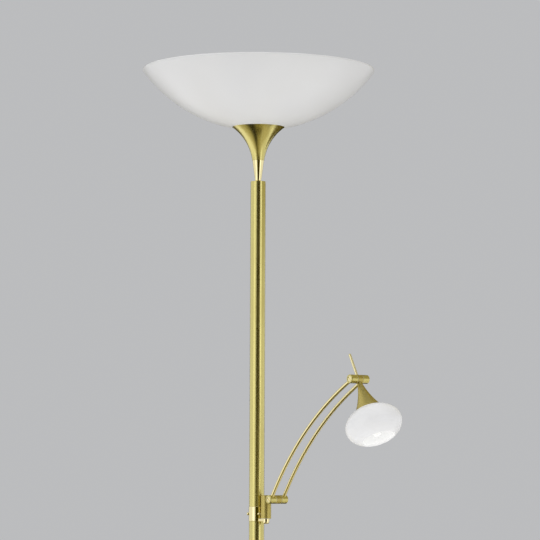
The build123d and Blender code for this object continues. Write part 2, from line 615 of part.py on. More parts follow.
def arm():
    lower = Pos(LOWER_HINGE[0], 0, LOWER_HINGE[1])
    upper = Pos(UPPER_HINGE[0], 0, UPPER_HINGE[1])
    rod_end = AXLE_R + ROD_GAP
    leads = []
    for name, side in (("near", -1), ("far", 1)):
        y = side * ROD_PITCH / 2
        rod = curved_rod(y, ROD_R, rod_end)
        nodes["lower_barrel_" + name] = lower * barrel(side) - rod
        nodes["upper_barrel_" + name] = upper * barrel(side) - rod
        nodes["rod_" + name] = rod - curved_rod(y, ROD_BORE_R, rod_end - CUT)
        leads.append(curved_rod(y, ARM_LEAD_R, rod_end))
    nodes["arm_leads"] = Compound(leads)

    head = -AXLE_SEAT - AXLE_HEAD_T
    axle = rod_y(AXLE_R, -AXLE_SEAT - CUT, AXLE_SEAT + AXLE_NUT_T) + rod_y(AXLE_HEAD_R, head, -AXLE_SEAT)
    axle -= Pos(0, head, 0) * Rot(0, SLOT_TURN, 0) * Box(3 * AXLE_HEAD_R, 2 * SLOT_DEPTH, SLOT_W)
    nut = rod_y(AXLE_HEAD_R, AXLE_SEAT, AXLE_SEAT + AXLE_NUT_T) - rod_y(AXLE_R, 0, 2 * HINGE_HALF)
    washers = []
    for side in (-1, 1):
        washer = rod_y(HINGE_R - FIT, side * (KNUCKLE_HALF + SLIP), side * BARREL_START)
        washers.append(washer - rod_y(AXLE_R, -HINGE_HALF, HINGE_HALF))
    nodes["hinge_axles"] = Compound([place * axle for place in (lower, upper)])
    nodes["hinge_nuts"] = Compound([place * nut for place in (lower, upper)])
    nodes["hinge_washers"] = Compound([place * washer for place in (lower, upper) for washer in washers])


# ---------------------------------------------------------------- reading head
def head_place(shape):
    """Moves a piece built along +Z, with the upper hinge at its origin, to the tilted head."""
    tilt = math.radians(HEAD_TILT)
    down = (math.sin(tilt), 0, -math.cos(tilt))
    across = (math.cos(tilt), 0, math.sin(tilt))
    return Plane(origin=(UPPER_HINGE[0], 0, UPPER_HINGE[1]), x_dir=across, z_dir=down).location * shape


def shade_form(inset):
    """Flattened ball of the reading shade, inset by a wall thickness."""
    rx, rz = SHADE_R - inset, SHADE_HALF_H - inset
    half = Plane.XZ * EllipticalCenterArc((0, 0), rx, rz, -90, arc_size=180)
    return Pos(0, 0, SHADE_CENTRE) * turned(half, line((0, rz), (0, -rz)))


def reading_head():
    body = knuckle() - rod_z(HEAD_TUBE_R, SEAT_DEPTH, HINGE_R + CUT)
    nodes["head_knuckle"] = head_place(body - rod_z(HANDLE_R, -HINGE_R - CUT, -SEAT_DEPTH))
    tip = HANDLE_R - HANDLE_END
    nodes["tilt_handle"] = head_place(rod_z(HANDLE_R, tip, -SEAT_DEPTH) + Pos(0, 0, tip) * Sphere(HANDLE_R))
    tube_end = HEAD_SOCKET + HEAD_THREAD
    nodes["head_tube"] = head_place(ring_z(HEAD_TUBE_R, HEAD_BORE_R, SEAT_DEPTH, tube_end))

    foot_r = HEAD_TUBE_R + HEAD_CUP_T
    flare = ((foot_r, HINGE_R + FIT), (HEAD_CUP_WAIST_R, HEAD_CUP_WAIST), (HEAD_CUP_RIM_R, HEAD_CUP_RIM))
    shade_solid = shade_form(0)
    cup = horn(*flare, 0) - horn(*flare, HEAD_CUP_T) - shade_solid
    nodes["reading_cup"] = head_place(cup - rod_z(HEAD_TUBE_R, 0, HEAD_CUP_WAIST))

    shade = shade_solid - shade_form(SHADE_T) - rod_z(SHADE_HOLE_R, 0, SHADE_CENTRE)
    shade -= rod_z(SHADE_MOUTH_R, SHADE_CENTRE, SHADE_CENTRE + SHADE_R)
    nodes["reading_glass"] = head_place(shade)

    gasket = ring_z(SHADE_HOLE_R, HEAD_TUBE_R, SHADE_TOP + CUT, HEAD_NUT)
    gasket += ring_z(HEAD_NUT_R, HEAD_TUBE_R, SHADE_TOP, HEAD_NUT) & shade_form(SHADE_T)
    nodes["reading_gasket"] = head_place(gasket)
    nut = ring_z(HEAD_NUT_R, HEAD_TUBE_R, HEAD_NUT, HEAD_HEX_Z)
    nut += hexagon(HEAD_HEX, HEAD_HEX_Z, HEAD_SOCKET) - rod_z(HEAD_TUBE_R, HEAD_NUT, HEAD_SOCKET + CUT)
    nodes["reading_nut"] = head_place(nut)

    socket = rod_z(HEAD_SOCKET_R, HEAD_SOCKET, HEAD_SOCKET_END)
    socket -= rod_z(HEAD_TUBE_R, HEAD_SOCKET - CUT, tube_end)
    pinch_top = HEAD_SOCKET_END + PINCH_H
    pinch_half = CAPSULE_R - 2 * PIN_R
    bulb = block((-pinch_half, pinch_half), (-CAPSULE_R / 2, CAPSULE_R / 2), (HEAD_SOCKET_END, pinch_top))
    dome = HEAD_SOCKET_END + CAPSULE_L - CAPSULE_R
    bulb += rod_z(CAPSULE_R, pinch_top - CUT, dome) + Pos(0, 0, dome) * Sphere(CAPSULE_R)
    for x in (-PIN_HALF_PITCH, PIN_HALF_PITCH):
        socket -= Pos(x, 0, 0) * rod_z(PIN_R + RUNNING, HEAD_SOCKET_END - PIN_L - CUT, HEAD_SOCKET_END + CUT)
        bulb += Pos(x, 0, 0) * rod_z(PIN_R, HEAD_SOCKET_END - PIN_L, HEAD_SOCKET_END + CUT)
    nodes["reading_socket"] = head_place(socket)
    nodes["reading_bulb"] = head_place(bulb)


pole(base())
switch_collar()
bowl()
lamp_unit()
swivel()
arm()
reading_head()

os.makedirs("parts", exist_ok=True)
for name, shape in nodes.items():
    export_step(shape, f"parts/{name}.step")
print(len(nodes), "nodes, overall height", round(BOWL_RIM, 1))
print("hinge axes", [round(v, 3) for v in (POST_X, *LOWER_HINGE, *UPPER_HINGE)])
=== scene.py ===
"""Visual model of a brass torchiere floor lamp with a reading light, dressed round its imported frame.

Metres, +Z up, origin at the centre of the base on the floor, +X from the pole to the reading arm.
The sections follow the lamp as it is put together, from the base to the reading head; then comes
the studio. Sizes of pieces are millimetres, turned to metres by MM. The depth of a material's
relief and the studio's sizes are metres.
"""

import math

import bmesh
import bpy
from mathutils import Matrix, Vector


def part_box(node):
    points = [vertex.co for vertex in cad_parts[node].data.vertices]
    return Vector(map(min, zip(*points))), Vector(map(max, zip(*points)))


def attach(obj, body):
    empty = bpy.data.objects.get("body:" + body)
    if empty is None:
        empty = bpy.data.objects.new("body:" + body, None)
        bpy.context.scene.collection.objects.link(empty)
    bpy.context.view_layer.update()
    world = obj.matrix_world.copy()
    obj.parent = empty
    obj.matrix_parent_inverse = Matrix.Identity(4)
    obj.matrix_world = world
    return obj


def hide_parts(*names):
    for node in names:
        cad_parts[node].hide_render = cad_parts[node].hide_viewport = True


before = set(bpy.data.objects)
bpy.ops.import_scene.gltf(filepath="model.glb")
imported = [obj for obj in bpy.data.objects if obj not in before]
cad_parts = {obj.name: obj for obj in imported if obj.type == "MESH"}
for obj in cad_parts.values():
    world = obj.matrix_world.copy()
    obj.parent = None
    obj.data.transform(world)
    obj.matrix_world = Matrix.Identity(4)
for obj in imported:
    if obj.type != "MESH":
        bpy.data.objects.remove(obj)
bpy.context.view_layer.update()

# ---------------------------------------------------------------- cast weight
# The weight is a grey-iron disc, sand cast, turned on its rim and dipped in black paint. It keeps
# the lamp upright, and the threaded tube through its middle clamps the cover and the pole to it.
MM = 0.001
IRON_PAINT = (0.022, 0.022, 0.024)
IRON_SCUFF = (0.055, 0.053, 0.05)


def add(tree, kind, sockets=None, **properties):
    """New node in a tree. Each named socket takes a value, or a link from another node's output."""
    node = tree.nodes.new(kind)
    for name, value in properties.items():
        setattr(node, name, value)
    for name, value in (sockets or {}).items():
        if isinstance(value, bpy.types.NodeSocket):
            tree.links.new(value, node.inputs[name])
        else:
            node.inputs[name].default_value = value
    return node


def new_group(name, inputs, outputs):
    """Shader node group whose inputs are a Vector and named numbers, and whose outputs are numbers."""
    tree = bpy.data.node_groups.new(name, "ShaderNodeTree")
    tree.interface.new_socket("Vector", in_out="INPUT", socket_type="NodeSocketVector")
    for label, value in inputs.items():
        socket = tree.interface.new_socket(label, in_out="INPUT", socket_type="NodeSocketFloat")
        socket.default_value = value
    for label in outputs:
        tree.interface.new_socket(label, in_out="OUTPUT", socket_type="NodeSocketFloat")
    return tree, tree.nodes.new("NodeGroupInput").outputs, tree.nodes.new("NodeGroupOutput").inputs


def new_material(name, sockets):
    """Principled material with what is the same all over it set on the shader's own sockets."""
    made = bpy.data.materials.new(name)
    made.use_nodes = True
    shader = made.node_tree.nodes["Principled BSDF"]
    for label, value in sockets.items():
        shader.inputs[label].default_value = value
    return made, made.node_tree, shader


def noise(tree, place, scale, **more):
    """Random pattern between 0 and 1. More names other sockets; W takes it to four dimensions."""
    sockets = {"Vector": place, "Scale": scale, **more}
    kind = "4D" if "W" in more else "3D"
    return add(tree, "ShaderNodeTexNoise", sockets, noise_dimensions=kind).outputs["Fac"]


def combine(tree, operation, first, second):
    """Result of a math operation on two numbers or outputs."""
    return add(tree, "ShaderNodeMath", {0: first, 1: second}, operation=operation).outputs[0]


def spread(tree, value, low, high, **kind):
    """Number from 0 to 1 while a value runs from low to high."""
    sockets = {"Value": value, "From Min": low, "From Max": high}
    return add(tree, "ShaderNodeMapRange", sockets, **kind).outputs["Result"]


def between(tree, mask, low, high):
    """Number from low to high while a mask runs from 0 to 1."""
    return add(tree, "ShaderNodeMapRange", {"Value": mask, "To Min": low, "To Max": high}).outputs["Result"]


def blend(tree, mask, first, second):
    """Colour between two by a mask. Each is three numbers or another node's output."""
    ends = [end if isinstance(end, bpy.types.NodeSocket) else (*end, 1.0) for end in (first, second)]
    return add(tree, "ShaderNodeMix", {0: mask, 6: ends[0], 7: ends[1]}, data_type="RGBA").outputs[2]


def vary(tree, shader, mask, colours, roughness, tint=None):
    """Runs the roughness between two values by a mask, and the base colour by it or by a tint."""
    tree.links.new(blend(tree, mask if tint is None else tint, *colours), shader.inputs["Base Color"])
    tree.links.new(between(tree, mask, *roughness), shader.inputs["Roughness"])


def emboss(tree, shader, height, depth, strength=0.6):
    """Bump of a given depth in metres from a height between 0 and 1."""
    relief = add(tree, "ShaderNodeBump", {"Height": height, "Distance": depth, "Strength": strength})
    tree.links.new(relief.outputs["Normal"], shader.inputs["Normal"])


GRIT, given, result = new_group("grit", {"Scale": 300.0, "Patches": 12.0}, ("Height", "Mask"))
grains = noise(GRIT, given["Vector"], given["Scale"], Detail=5.0)
patches = noise(GRIT, given["Vector"], given["Patches"], Detail=2.0)
GRIT.links.new(grains, result["Height"])
GRIT.links.new(spread(GRIT, combine(GRIT, "MULTIPLY", grains, patches), 0.12, 0.42), result["Mask"])


def grained(name, colours, scale, roughness, depth, stretch=(1, 1, 1), sockets=None):
    """Material of fine random grain between two colours, drawn out along an axis by a small stretch."""
    made, tree, shader = new_material(name, sockets or {})
    where = add(tree, "ShaderNodeTexCoord")
    laid = add(tree, "ShaderNodeMapping", {"Vector": where.outputs["Object"], "Scale": stretch})
    grit = add(tree, "ShaderNodeGroup", {"Vector": laid.outputs["Vector"], "Scale": scale}, node_tree=GRIT)
    vary(tree, shader, grit.outputs["Mask"], colours, roughness)
    emboss(tree, shader, grit.outputs["Height"], depth)
    return made


def dress(material, *nodes):
    """Gives pieces that are carried over as they are their finish."""
    for node in nodes:
        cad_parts[node].material_slots[0].material = material


iron = grained("cast_iron", (IRON_PAINT, IRON_SCUFF), scale=420.0, roughness=(0.45, 0.7), depth=0.0004)
dress(iron, "base_weight")

# ---------------------------------------------------------------- felt
# A disc of pressed black wool felt is glued under the weight, so that the lamp slides without
# scratching the floor. Its cut edge is a little rounded and fuzzy.
FELT_DARK = (0.018, 0.018, 0.02)
FELT_LIGHT = (0.06, 0.058, 0.055)
FELT_FUZZ = {"Sheen Weight": 0.4}
FELT_EDGE = 0.9


def rounded(*corners, steps=5):
    """Outline of (radius, height) points from corners whose third number, if any, is their fillet."""
    outline = []
    for i, corner in enumerate(corners):
        here = Vector(corner[:2])
        if len(corner) < 3:
            outline.append(here)
            continue
        before = (Vector(corners[i - 1][:2]) - here).normalized()
        after = (Vector(corners[(i + 1) % len(corners)][:2]) - here).normalized()
        half = before.angle(after) / 2
        centre = here + (before + after).normalized() * corner[2] / math.sin(half)
        start = here + before * corner[2] / math.tan(half) - centre
        end = here + after * corner[2] / math.tan(half) - centre
        turn = math.pi - 2 * half
        for k in range(steps + 1):
            share = k / steps * turn
            outline.append(centre + (start * math.sin(turn - share) + end * math.sin(share)) / math.sin(turn))
    return outline


def new_piece(name, bm, place=Matrix(), sharp=35.0):
    """Object from a bmesh in millimetres, smooth but for edges sharper than an angle in degrees."""
    bmesh.ops.remove_doubles(bm, verts=bm.verts, dist=1e-5)
    if bm.calc_volume(signed=True) < 0:
        bmesh.ops.reverse_faces(bm, faces=bm.faces)
    bmesh.ops.transform(bm, matrix=Matrix.Scale(MM, 4) @ place, verts=bm.verts)
    mesh = bpy.data.meshes.new(name)
    bm.to_mesh(mesh)
    bm.free()
    mesh.shade_smooth()
    mesh.set_sharp_from_angle(angle=math.radians(sharp))
    piece = bpy.data.objects.new(name, mesh)
    bpy.context.scene.collection.objects.link(piece)
    return piece


def skin(rings):
    """Closed bmesh over rings of points. Each ring has as many points as the next, or a single one."""
    bm = bmesh.new()
    laid = [[bm.verts.new(point) for point in ring] for ring in rings]
    around = max(len(ring) for ring in laid)
    for low, high in zip(laid, laid[1:] + laid[:1]):
        for k in range(around):
            nxt = k + 1
            corners = [low[k % len(low)], low[nxt % len(low)], high[nxt % len(high)], high[k % len(high)]]
            distinct = list(dict.fromkeys(corners))
            if len(distinct) > 2:
                bm.faces.new(distinct)
    return bm


def lathe(name, outline, around=128, place=Matrix()):
    """Closed piece turned about the Z axis from an outline in millimetres, then put in its place."""
    rings = []
    for radius, height in outline:
        turns = [math.tau * k / around for k in range(around if radius > 1e-6 else 1)]
        rings.append([(radius * math.cos(turn), radius * math.sin(turn), height) for turn in turns])
    return new_piece(name, skin(rings), place)


def seat(piece, material, body, slot, *nodes):
    """Finishes a new piece: its material, the body it rides on and the nodes it stands for; slot is not used.
    """
    piece.data.materials.clear()
    piece.data.materials.append(material)
    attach(piece, body)
    if nodes:
        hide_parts(*nodes)


def span(node):
    """A node's lowest and highest corners in millimetres."""
    low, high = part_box(node)
    return low / MM, high / MM


felt_low, felt_high = span("base_felt")
felt_outline = rounded(
    (0.0, felt_low.z),
    (felt_high.x, felt_low.z, FELT_EDGE / 3),
    (felt_high.x, felt_high.z, FELT_EDGE),
    (0.0, felt_high.z),
)
felt = grained(
    "wool_felt", (FELT_DARK, FELT_LIGHT), scale=1400.0, roughness=(0.85, 1.0), depth=0.0006, sockets=FELT_FUZZ
)
seat(lathe("felt_disc", felt_outline, around=160), felt, "root", "felt", "base_felt")

# ---------------------------------------------------------------- base cover
# A round cover spun from brass sheet over a chuck hides the weight. It is brushed round and round
# while it turns, then lacquered matt, so its shine is drawn out across the grain.
BRASS = (0.68, 0.615, 0.245)
BRASS_DEEP = (0.64, 0.57, 0.215)
BRUSHED_ROUGHNESS = (0.26, 0.31)
SATIN = (0.56, 0.475, 0.155)
SATIN_DEEP = (0.51, 0.42, 0.125)
SATIN_ROUGHNESS = (0.42, 0.48)
GRAIN_LINES = 3800.0
GRAIN_DEPTH = 0.00001
GRAIN_STRENGTH = 0.07
HAND_MARKS = 9.0
METAL = {"Metallic": 1.0}
LACQUER = {"Coat Weight": 0.1, "Coat Roughness": 0.25}
ROUND_BRUSHED = {"Anisotropic": 0.5, "Anisotropic Rotation": 0.25, **LACQUER}


def how_far(tree, place):
    """Distance of a place from the origin."""
    return add(tree, "ShaderNodeVectorMath", {0: place}, operation="LENGTH").outputs["Value"]


GRAIN, given, result = new_group("turned_grain", {"Lines": GRAIN_LINES, "Waver": 2.0}, ("Height", "Tone"))
place = add(GRAIN, "ShaderNodeSeparateXYZ", {"Vector": given["Vector"]}).outputs
flat = add(GRAIN, "ShaderNodeCombineXYZ", {"X": place["X"], "Y": place["Y"]}).outputs[0]
course = add(GRAIN, "ShaderNodeVectorMath", {0: flat}, operation="NORMALIZE").outputs[0]
bearing = add(GRAIN, "ShaderNodeSeparateXYZ", {"Vector": course}).outputs
turned = {
    "X": combine(GRAIN, "MULTIPLY", how_far(GRAIN, flat), given["Lines"]),
    "Y": combine(GRAIN, "MULTIPLY", place["Z"], given["Lines"]),
    "Z": combine(GRAIN, "MULTIPLY", bearing["X"], given["Waver"]),
}
laid = add(GRAIN, "ShaderNodeCombineXYZ", turned).outputs[0]
north = combine(GRAIN, "MULTIPLY", bearing["Y"], given["Waver"])
strokes = noise(GRAIN, laid, 1.0, W=north, Detail=3.0, Roughness=0.7)
GRAIN.links.new(strokes, result["Height"])
GRAIN.links.new(spread(GRAIN, strokes, 0.3, 0.7), result["Tone"])

HANDLING, given, result = new_group("handling", {"Scale": HAND_MARKS}, ("Mask",))
clouds = noise(HANDLING, given["Vector"], given["Scale"], Detail=4.0, Distortion=0.6)
HANDLING.links.new(spread(HANDLING, clouds, 0.42, 0.68), result["Mask"])


def handled(tree, where, scale):
    """Mask of the faint marks that hands leave on a surface."""
    sockets = {"Vector": where.outputs["Object"], "Scale": scale}
    return add(tree, "ShaderNodeGroup", sockets, node_tree=HANDLING).outputs["Mask"]


def turned_metal(name, colours, roughness, depth, centre=(0, 0, 0), turn=(0, 0, 0), sockets=None):
    """Metal with grain lines round the piece's own axis, which lies at centre and is turned from Z."""
    made, tree, shader = new_material(name, {**METAL, **(sockets or {})})
    where = add(tree, "ShaderNodeTexCoord")
    own = {"Vector": where.outputs["Object"], "Location": centre, "Rotation": turn}
    axis = add(tree, "ShaderNodeMapping", own, vector_type="TEXTURE")
    grain = add(tree, "ShaderNodeGroup", {"Vector": axis.outputs["Vector"]}, node_tree=GRAIN)
    marks = handled(tree, where, HAND_MARKS)
    vary(tree, shader, marks, colours, roughness, combine(tree, "MAXIMUM", grain.outputs["Tone"], marks))
    emboss(tree, shader, grain.outputs["Height"], depth, GRAIN_STRENGTH)
    return made


def brushed(name, centre=(0, 0, 0), turn=(0, 0, 0), sockets=LACQUER):
    """Finish of drawn and spun brass, brushed while it turns."""
    return turned_metal(name, (BRASS, BRASS_DEEP), BRUSHED_ROUGHNESS, GRAIN_DEPTH, centre, turn, sockets)


def satin(name, centre=(0, 0, 0), turn=(0, 0, 0)):
    """Finish of small pieces cut from bar: a deeper gold and a duller brush than the tube's."""
    return turned_metal(name, (SATIN, SATIN_DEEP), SATIN_ROUGHNESS, GRAIN_DEPTH, centre, turn, LACQUER)


brushed_upright = brushed("brushed_brass_upright", sockets=ROUND_BRUSHED)
dress(brushed_upright, "base_cover")

# ---------------------------------------------------------------- cord inlet and terminal block
# The mains cord enters through a black rubber bushing that snaps into the cover's wall, and its
# cores meet the lamp's own cable in a white moulded block with two screw wells, under the weight.
RUBBER = ((0.012, 0.012, 0.012), (0.03, 0.03, 0.03))
WHITE_MOULDING = ((0.78, 0.78, 0.75), (0.84, 0.84, 0.82))
SHEATH = ((0.70, 0.69, 0.65), (0.78, 0.77, 0.73))
rubber = grained("black_rubber", RUBBER, scale=700.0, roughness=(0.55, 0.75), depth=0.0002)
white_moulding = grained("white_moulding", WHITE_MOULDING, scale=250.0, roughness=(0.35, 0.5), depth=0.0001)
sheath = grained("cable_sheath", SHEATH, scale=500.0, roughness=(0.45, 0.6), depth=0.0001)
dress(rubber, "cord_bushing")
dress(white_moulding, "terminal_block")
dress(sheath, "supply_lead", "torchiere_lead")

# ---------------------------------------------------------------- threaded tubes
# Two zinc-plated steel tubes with a rolled M10 thread clamp the stack: one holds base, cover and
# pole together, the other the cup, the glass and the lamp unit. The plating has a straw cast.
ZINC = ((0.66, 0.65, 0.57), (0.60, 0.62, 0.64))
THREAD_PITCH = 1.0
THREAD_DEPTH = 0.3
THREAD_BORE_R = 3.5
THREAD_EDGE = 0.2
COIL_STEPS = 24
WIRE_SIDES = 6


def new_tree(name, **inputs):
    """Geometry Nodes tree with sockets named by kind; gives it, its sockets and a closing function."""
    tree = bpy.data.node_groups.new(name, "GeometryNodeTree")
    for kind, labels in {"Geometry": ("Geometry",), **inputs, "Material": ("Material",)}.items():
        for label in labels:
            tree.interface.new_socket(label, in_out="INPUT", socket_type="NodeSocket" + kind)
    tree.interface.new_socket("Geometry", in_out="OUTPUT", socket_type="NodeSocketGeometry")
    given = tree.nodes.new("NodeGroupInput").outputs

    def close(geometry):
        smooth = add(tree, "GeometryNodeSetShadeSmooth", {"Geometry": geometry}).outputs[0]
        real = add(tree, "GeometryNodeRealizeInstances", {"Geometry": smooth}).outputs[0]
        last = add(tree, "GeometryNodeSetMaterial", {"Geometry": real, "Material": given["Material"]})
        tree.links.new(last.outputs[0], tree.nodes.new("NodeGroupOutput").inputs[0])

    return tree, given, close


def grow(name, tree, material, places=(), **values):
    """Piece that a Geometry Nodes tree makes from named values, kept as a plain mesh."""
    points = bpy.data.meshes.new(name)
    points.from_pydata([Vector(place) * MM for place in places], [], [])
    piece = bpy.data.objects.new(name, points)
    bpy.context.scene.collection.objects.link(piece)
    modifier = piece.modifiers.new("shape", "NODES")
    modifier.node_group = tree
    sockets = {item.name: item.identifier for item in tree.interface.items_tree if item.in_out == "INPUT"}
    modifier[sockets["Material"]] = material
    for label, value in values.items():
        modifier[sockets[label]] = value
    graph = bpy.context.evaluated_depsgraph_get()
    mesh = bpy.data.meshes.new_from_object(piece.evaluated_get(graph))
    piece.modifiers.clear()
    piece.data = mesh
    return piece


def join(name, *pieces):
    """One piece from several, whose own objects go."""
    bm = bmesh.new()
    for piece in pieces:
        bm.from_mesh(piece.data)
        bpy.data.objects.remove(piece)
    mesh = bpy.data.meshes.new(name)
    bm.to_mesh(mesh)
    bm.free()
    joined = bpy.data.objects.new(name, mesh)
    bpy.context.scene.collection.objects.link(joined)
    return joined


def round_bar(tree, path, radius, sides, place, turn):
    """Round bar along a path, turned and moved to its place."""
    ring = add(tree, "GeometryNodeCurvePrimitiveCircle", {"Resolution": sides, "Radius": radius}).outputs[0]
    drawn = {"Curve": path, "Profile Curve": ring, "Fill Caps": True}
    bar = add(tree, "GeometryNodeCurveToMesh", drawn).outputs[0]
    put = {"Geometry": bar, "Translation": place, "Rotation": turn}
    return add(tree, "GeometryNodeTransform", put).outputs[0]


COIL, given, close = new_tree("coil", Vector=("Foot", "Turn"), Float=("Radius", "Wire", "Turns", "Length"))
winding = {
    "Resolution": COIL_STEPS,
    "Rotations": given["Turns"],
    "Start Radius": given["Radius"],
    "End Radius": given["Radius"],
    "Height": given["Length"],
}
spiral = add(COIL, "GeometryNodeCurveSpiral", winding).outputs[0]
close(round_bar(COIL, spiral, given["Wire"], WIRE_SIDES, given["Foot"], given["Turn"]))

zinc = grained("zinc_plate", ZINC, scale=90.0, roughness=(0.28, 0.42), depth=0.00004, sockets=METAL)


def pipe(bore, radius, foot, top, edge):
    """Outline of a tube whose outer edges are rounded."""
    return rounded((bore, foot), (radius, foot, edge), (radius, top, edge), (bore, top))


def threaded_tube(name, node):
    """Tube with a thread rolled on it for its whole length."""
    low, high = span(node)
    core = high.x - THREAD_DEPTH
    outline = pipe(THREAD_BORE_R, core, low.z, high.z, THREAD_EDGE)
    length = high.z - low.z - 2 * THREAD_DEPTH
    ridge = grow(
        name + "_ridge",
        COIL,
        zinc,
        Foot=(0, 0, (low.z + THREAD_DEPTH) * MM),
        Radius=core * MM,
        Wire=THREAD_DEPTH * MM,
        Turns=length / THREAD_PITCH,
        Length=length * MM,
    )
    core_tube = lathe(name + "_core", outline, around=48)
    seat(join(name, core_tube, ridge), zinc, "root", "zinc_steel", node)


threaded_tube("base_tube", "base_nipple")
threaded_tube("stem_tube", "bowl_tube")

# ---------------------------------------------------------------- tube nuts
# Four hexagon nuts, 17 mm across flats, sit on the threaded tubes: one in the weight's pocket, two
# locked against each other on the bowl's disc, and one that holds the lamp unit's bracket down.
NUT_ACROSS = 17.0
NUT_H = 5.5
NUT_CROWN = 0.96
NUT_BORE_R = 5.05
NUT_SINK = 0.5

SET_OUT, given, close = new_tree("set_out", Object=("Piece",))
pattern = add(SET_OUT, "GeometryNodeObjectInfo", {"Object": given["Piece"]}).outputs["Geometry"]
copied = {"Points": given["Geometry"], "Instance": pattern}
close(add(SET_OUT, "GeometryNodeInstanceOnPoints", copied).outputs[0])


def hexagon_nut(across, height, bore, steps=72):
    """Nut whose corners are turned off by a cone of 30 degrees, with a countersunk bore."""
    crown = across / 2 * NUT_CROWN
    turns = [math.tau * k / steps for k in range(steps)]
    flanks = [across / 2 / math.cos((turn + math.pi / 6) % (math.pi / 3) - math.pi / 6) for turn in turns]
    falls = [(flank - crown) * math.tan(math.radians(30)) for flank in flanks]

    def ring(radii, heights):
        return [(r * math.cos(turn), r * math.sin(turn), z) for r, turn, z in zip(radii, turns, heights)]

    rings = []
    for end, inward in ((0.0, 1), (height, -1)):
        level = [
            ring([bore] * steps, [end + inward * NUT_SINK] * steps),
            ring([bore + NUT_SINK] * steps, [end] * steps),
            ring([crown] * steps, [end] * steps),
            ring(flanks, [end + inward * fall for fall in falls]),
        ]
        rings += level if inward > 0 else reversed(level)
    return skin(rings)


nuts_low, nuts_high = span("tube_nuts")
disc_top = span("bowl_disc")[1].z
nut_feet = (nuts_low.z, disc_top, disc_top + NUT_H, nuts_high.z - NUT_H)
nut = new_piece("nut", hexagon_nut(NUT_ACROSS, NUT_H, NUT_BORE_R), sharp=20.0)
nuts = grow("hexagon_nuts", SET_OUT, zinc, [(0, 0, foot) for foot in nut_feet], Piece=nut)
bpy.data.objects.remove(nut)
seat(nuts, zinc, "root", "zinc_steel", "tube_nuts")

# ---------------------------------------------------------------- foot rosette
# A small polished ring with a hollow flank sits on the cover and takes the pole. It is turned
# from solid brass, polished to a mirror and lacquered.
POLISH = (0.93, 0.84, 0.50)
POLISH_DEEP = (0.88, 0.78, 0.42)
POLISHED_ROUGHNESS = (0.06, 0.1)
POLISH_DEPTH = 0.000002
ROSETTE_BORE_R = 5.0
ROSETTE_RIM = 2.0
ROSETTE_H = 10.0
ROSETTE_LIP = 1.3
SOFT_EDGE = 0.35


def bow(a, b, c, steps=24):
    """Points of the arc from a through b to c."""
    (ax, az), (bx, bz), (cx, cz) = a, b, c
    double = 2 * (ax * (bz - cz) + bx * (cz - az) + cx * (az - bz))
    a2, b2, c2 = ax**2 + az**2, bx**2 + bz**2, cx**2 + cz**2
    x = (a2 * (bz - cz) + b2 * (cz - az) + c2 * (az - bz)) / double
    z = (a2 * (cx - bx) + b2 * (ax - cx) + c2 * (bx - ax)) / double
    start, middle, stop = [math.atan2(pz - z, px - x) for px, pz in (a, b, c)]
    sweep = (stop - start) % math.tau
    if (middle - start) % math.tau > sweep:
        sweep -= math.tau
    radius = math.hypot(ax - x, az - z)
    turns = [start + sweep * k / steps for k in range(steps + 1)]
    return [Vector((x + radius * math.cos(t), z + radius * math.sin(t))) for t in turns]


def polished(name, centre=(0, 0, 0)):
    """Finish of turned brass, polished to a mirror."""
    return turned_metal(name, (POLISH, POLISH_DEEP), POLISHED_ROUGHNESS, POLISH_DEPTH, centre)


polished_upright = polished("polished_brass_upright")
rosette_low, rosette_high = span("foot_rosette")
pole_foot, pole_r = span("pole_lower")[0].z, span("pole_lower")[1].x
rosette_top = rosette_low.z + ROSETTE_H
lip_r = pole_r + ROSETTE_LIP
rim_top = (rosette_high.x, rosette_low.z + ROSETTE_RIM)
hollow = ((rosette_high.x + 2 * lip_r) / 3, rim_top[1] + (rosette_top - rim_top[1]) / 3)
flank = bow(rim_top, hollow, (lip_r, rosette_top), steps=16)
rosette_outline = [
    Vector((ROSETTE_BORE_R, rosette_low.z)),
    *rounded((rosette_high.x, rosette_low.z), (*rim_top, SOFT_EDGE), flank[1][:])[:-1],
    *flank[1:],
    Vector((pole_r, rosette_top)),
    Vector((pole_r, pole_foot)),
    Vector((ROSETTE_BORE_R, pole_foot)),
]
seat(lathe("rosette", rosette_outline), polished_upright, "root", "polished_brass", "foot_rosette")

# ---------------------------------------------------------------- pole
# The pole is 25 mm drawn brass tube in three lengths, brushed round and lacquered matt. The ends
# are faced in the lathe and lightly broken; the joint ring between the lower two is polished.
TUBE_WALL = 1.2
for length in ("lower", "middle", "upper"):
    low, high = span("pole_" + length)
    outline = pipe(high.x - TUBE_WALL, high.x, low.z, high.z, SOFT_EDGE)
    tube = lathe("pole_tube_" + length, outline, around=192)
    seat(tube, brushed_upright, "root", "brushed_brass", "pole_" + length)
dress(polished_upright, "pole_joint")
dress(brushed_upright, "pole_cap")

# ---------------------------------------------------------------- switch collar
# A polished ring joins the tubes at hand height and houses the dimmer module. Two ball-ended
# push buttons, turned in brass, stand out of it and travel a millimetre.
BLACK_MOULDING = ((0.02, 0.02, 0.02), (0.04, 0.04, 0.04))


def buffed(name, scale, roughness, depth):
    """Finish of polished pieces that a cloth buffs all over, without lines round an axis."""
    return grained(name, (POLISH_DEEP, POLISH), scale, roughness, depth, sockets=METAL)


button_brass = buffed("polished_brass_buttons", scale=60.0, roughness=POLISHED_ROUGHNESS, depth=0.00001)
black_moulding = grained("black_moulding", BLACK_MOULDING, scale=300.0, roughness=(0.5, 0.65), depth=0.0001)
dress(polished_upright, "switch_collar")
dress(button_brass, "reading_button", "torchiere_button")
dress(black_moulding, "dimmer_module")

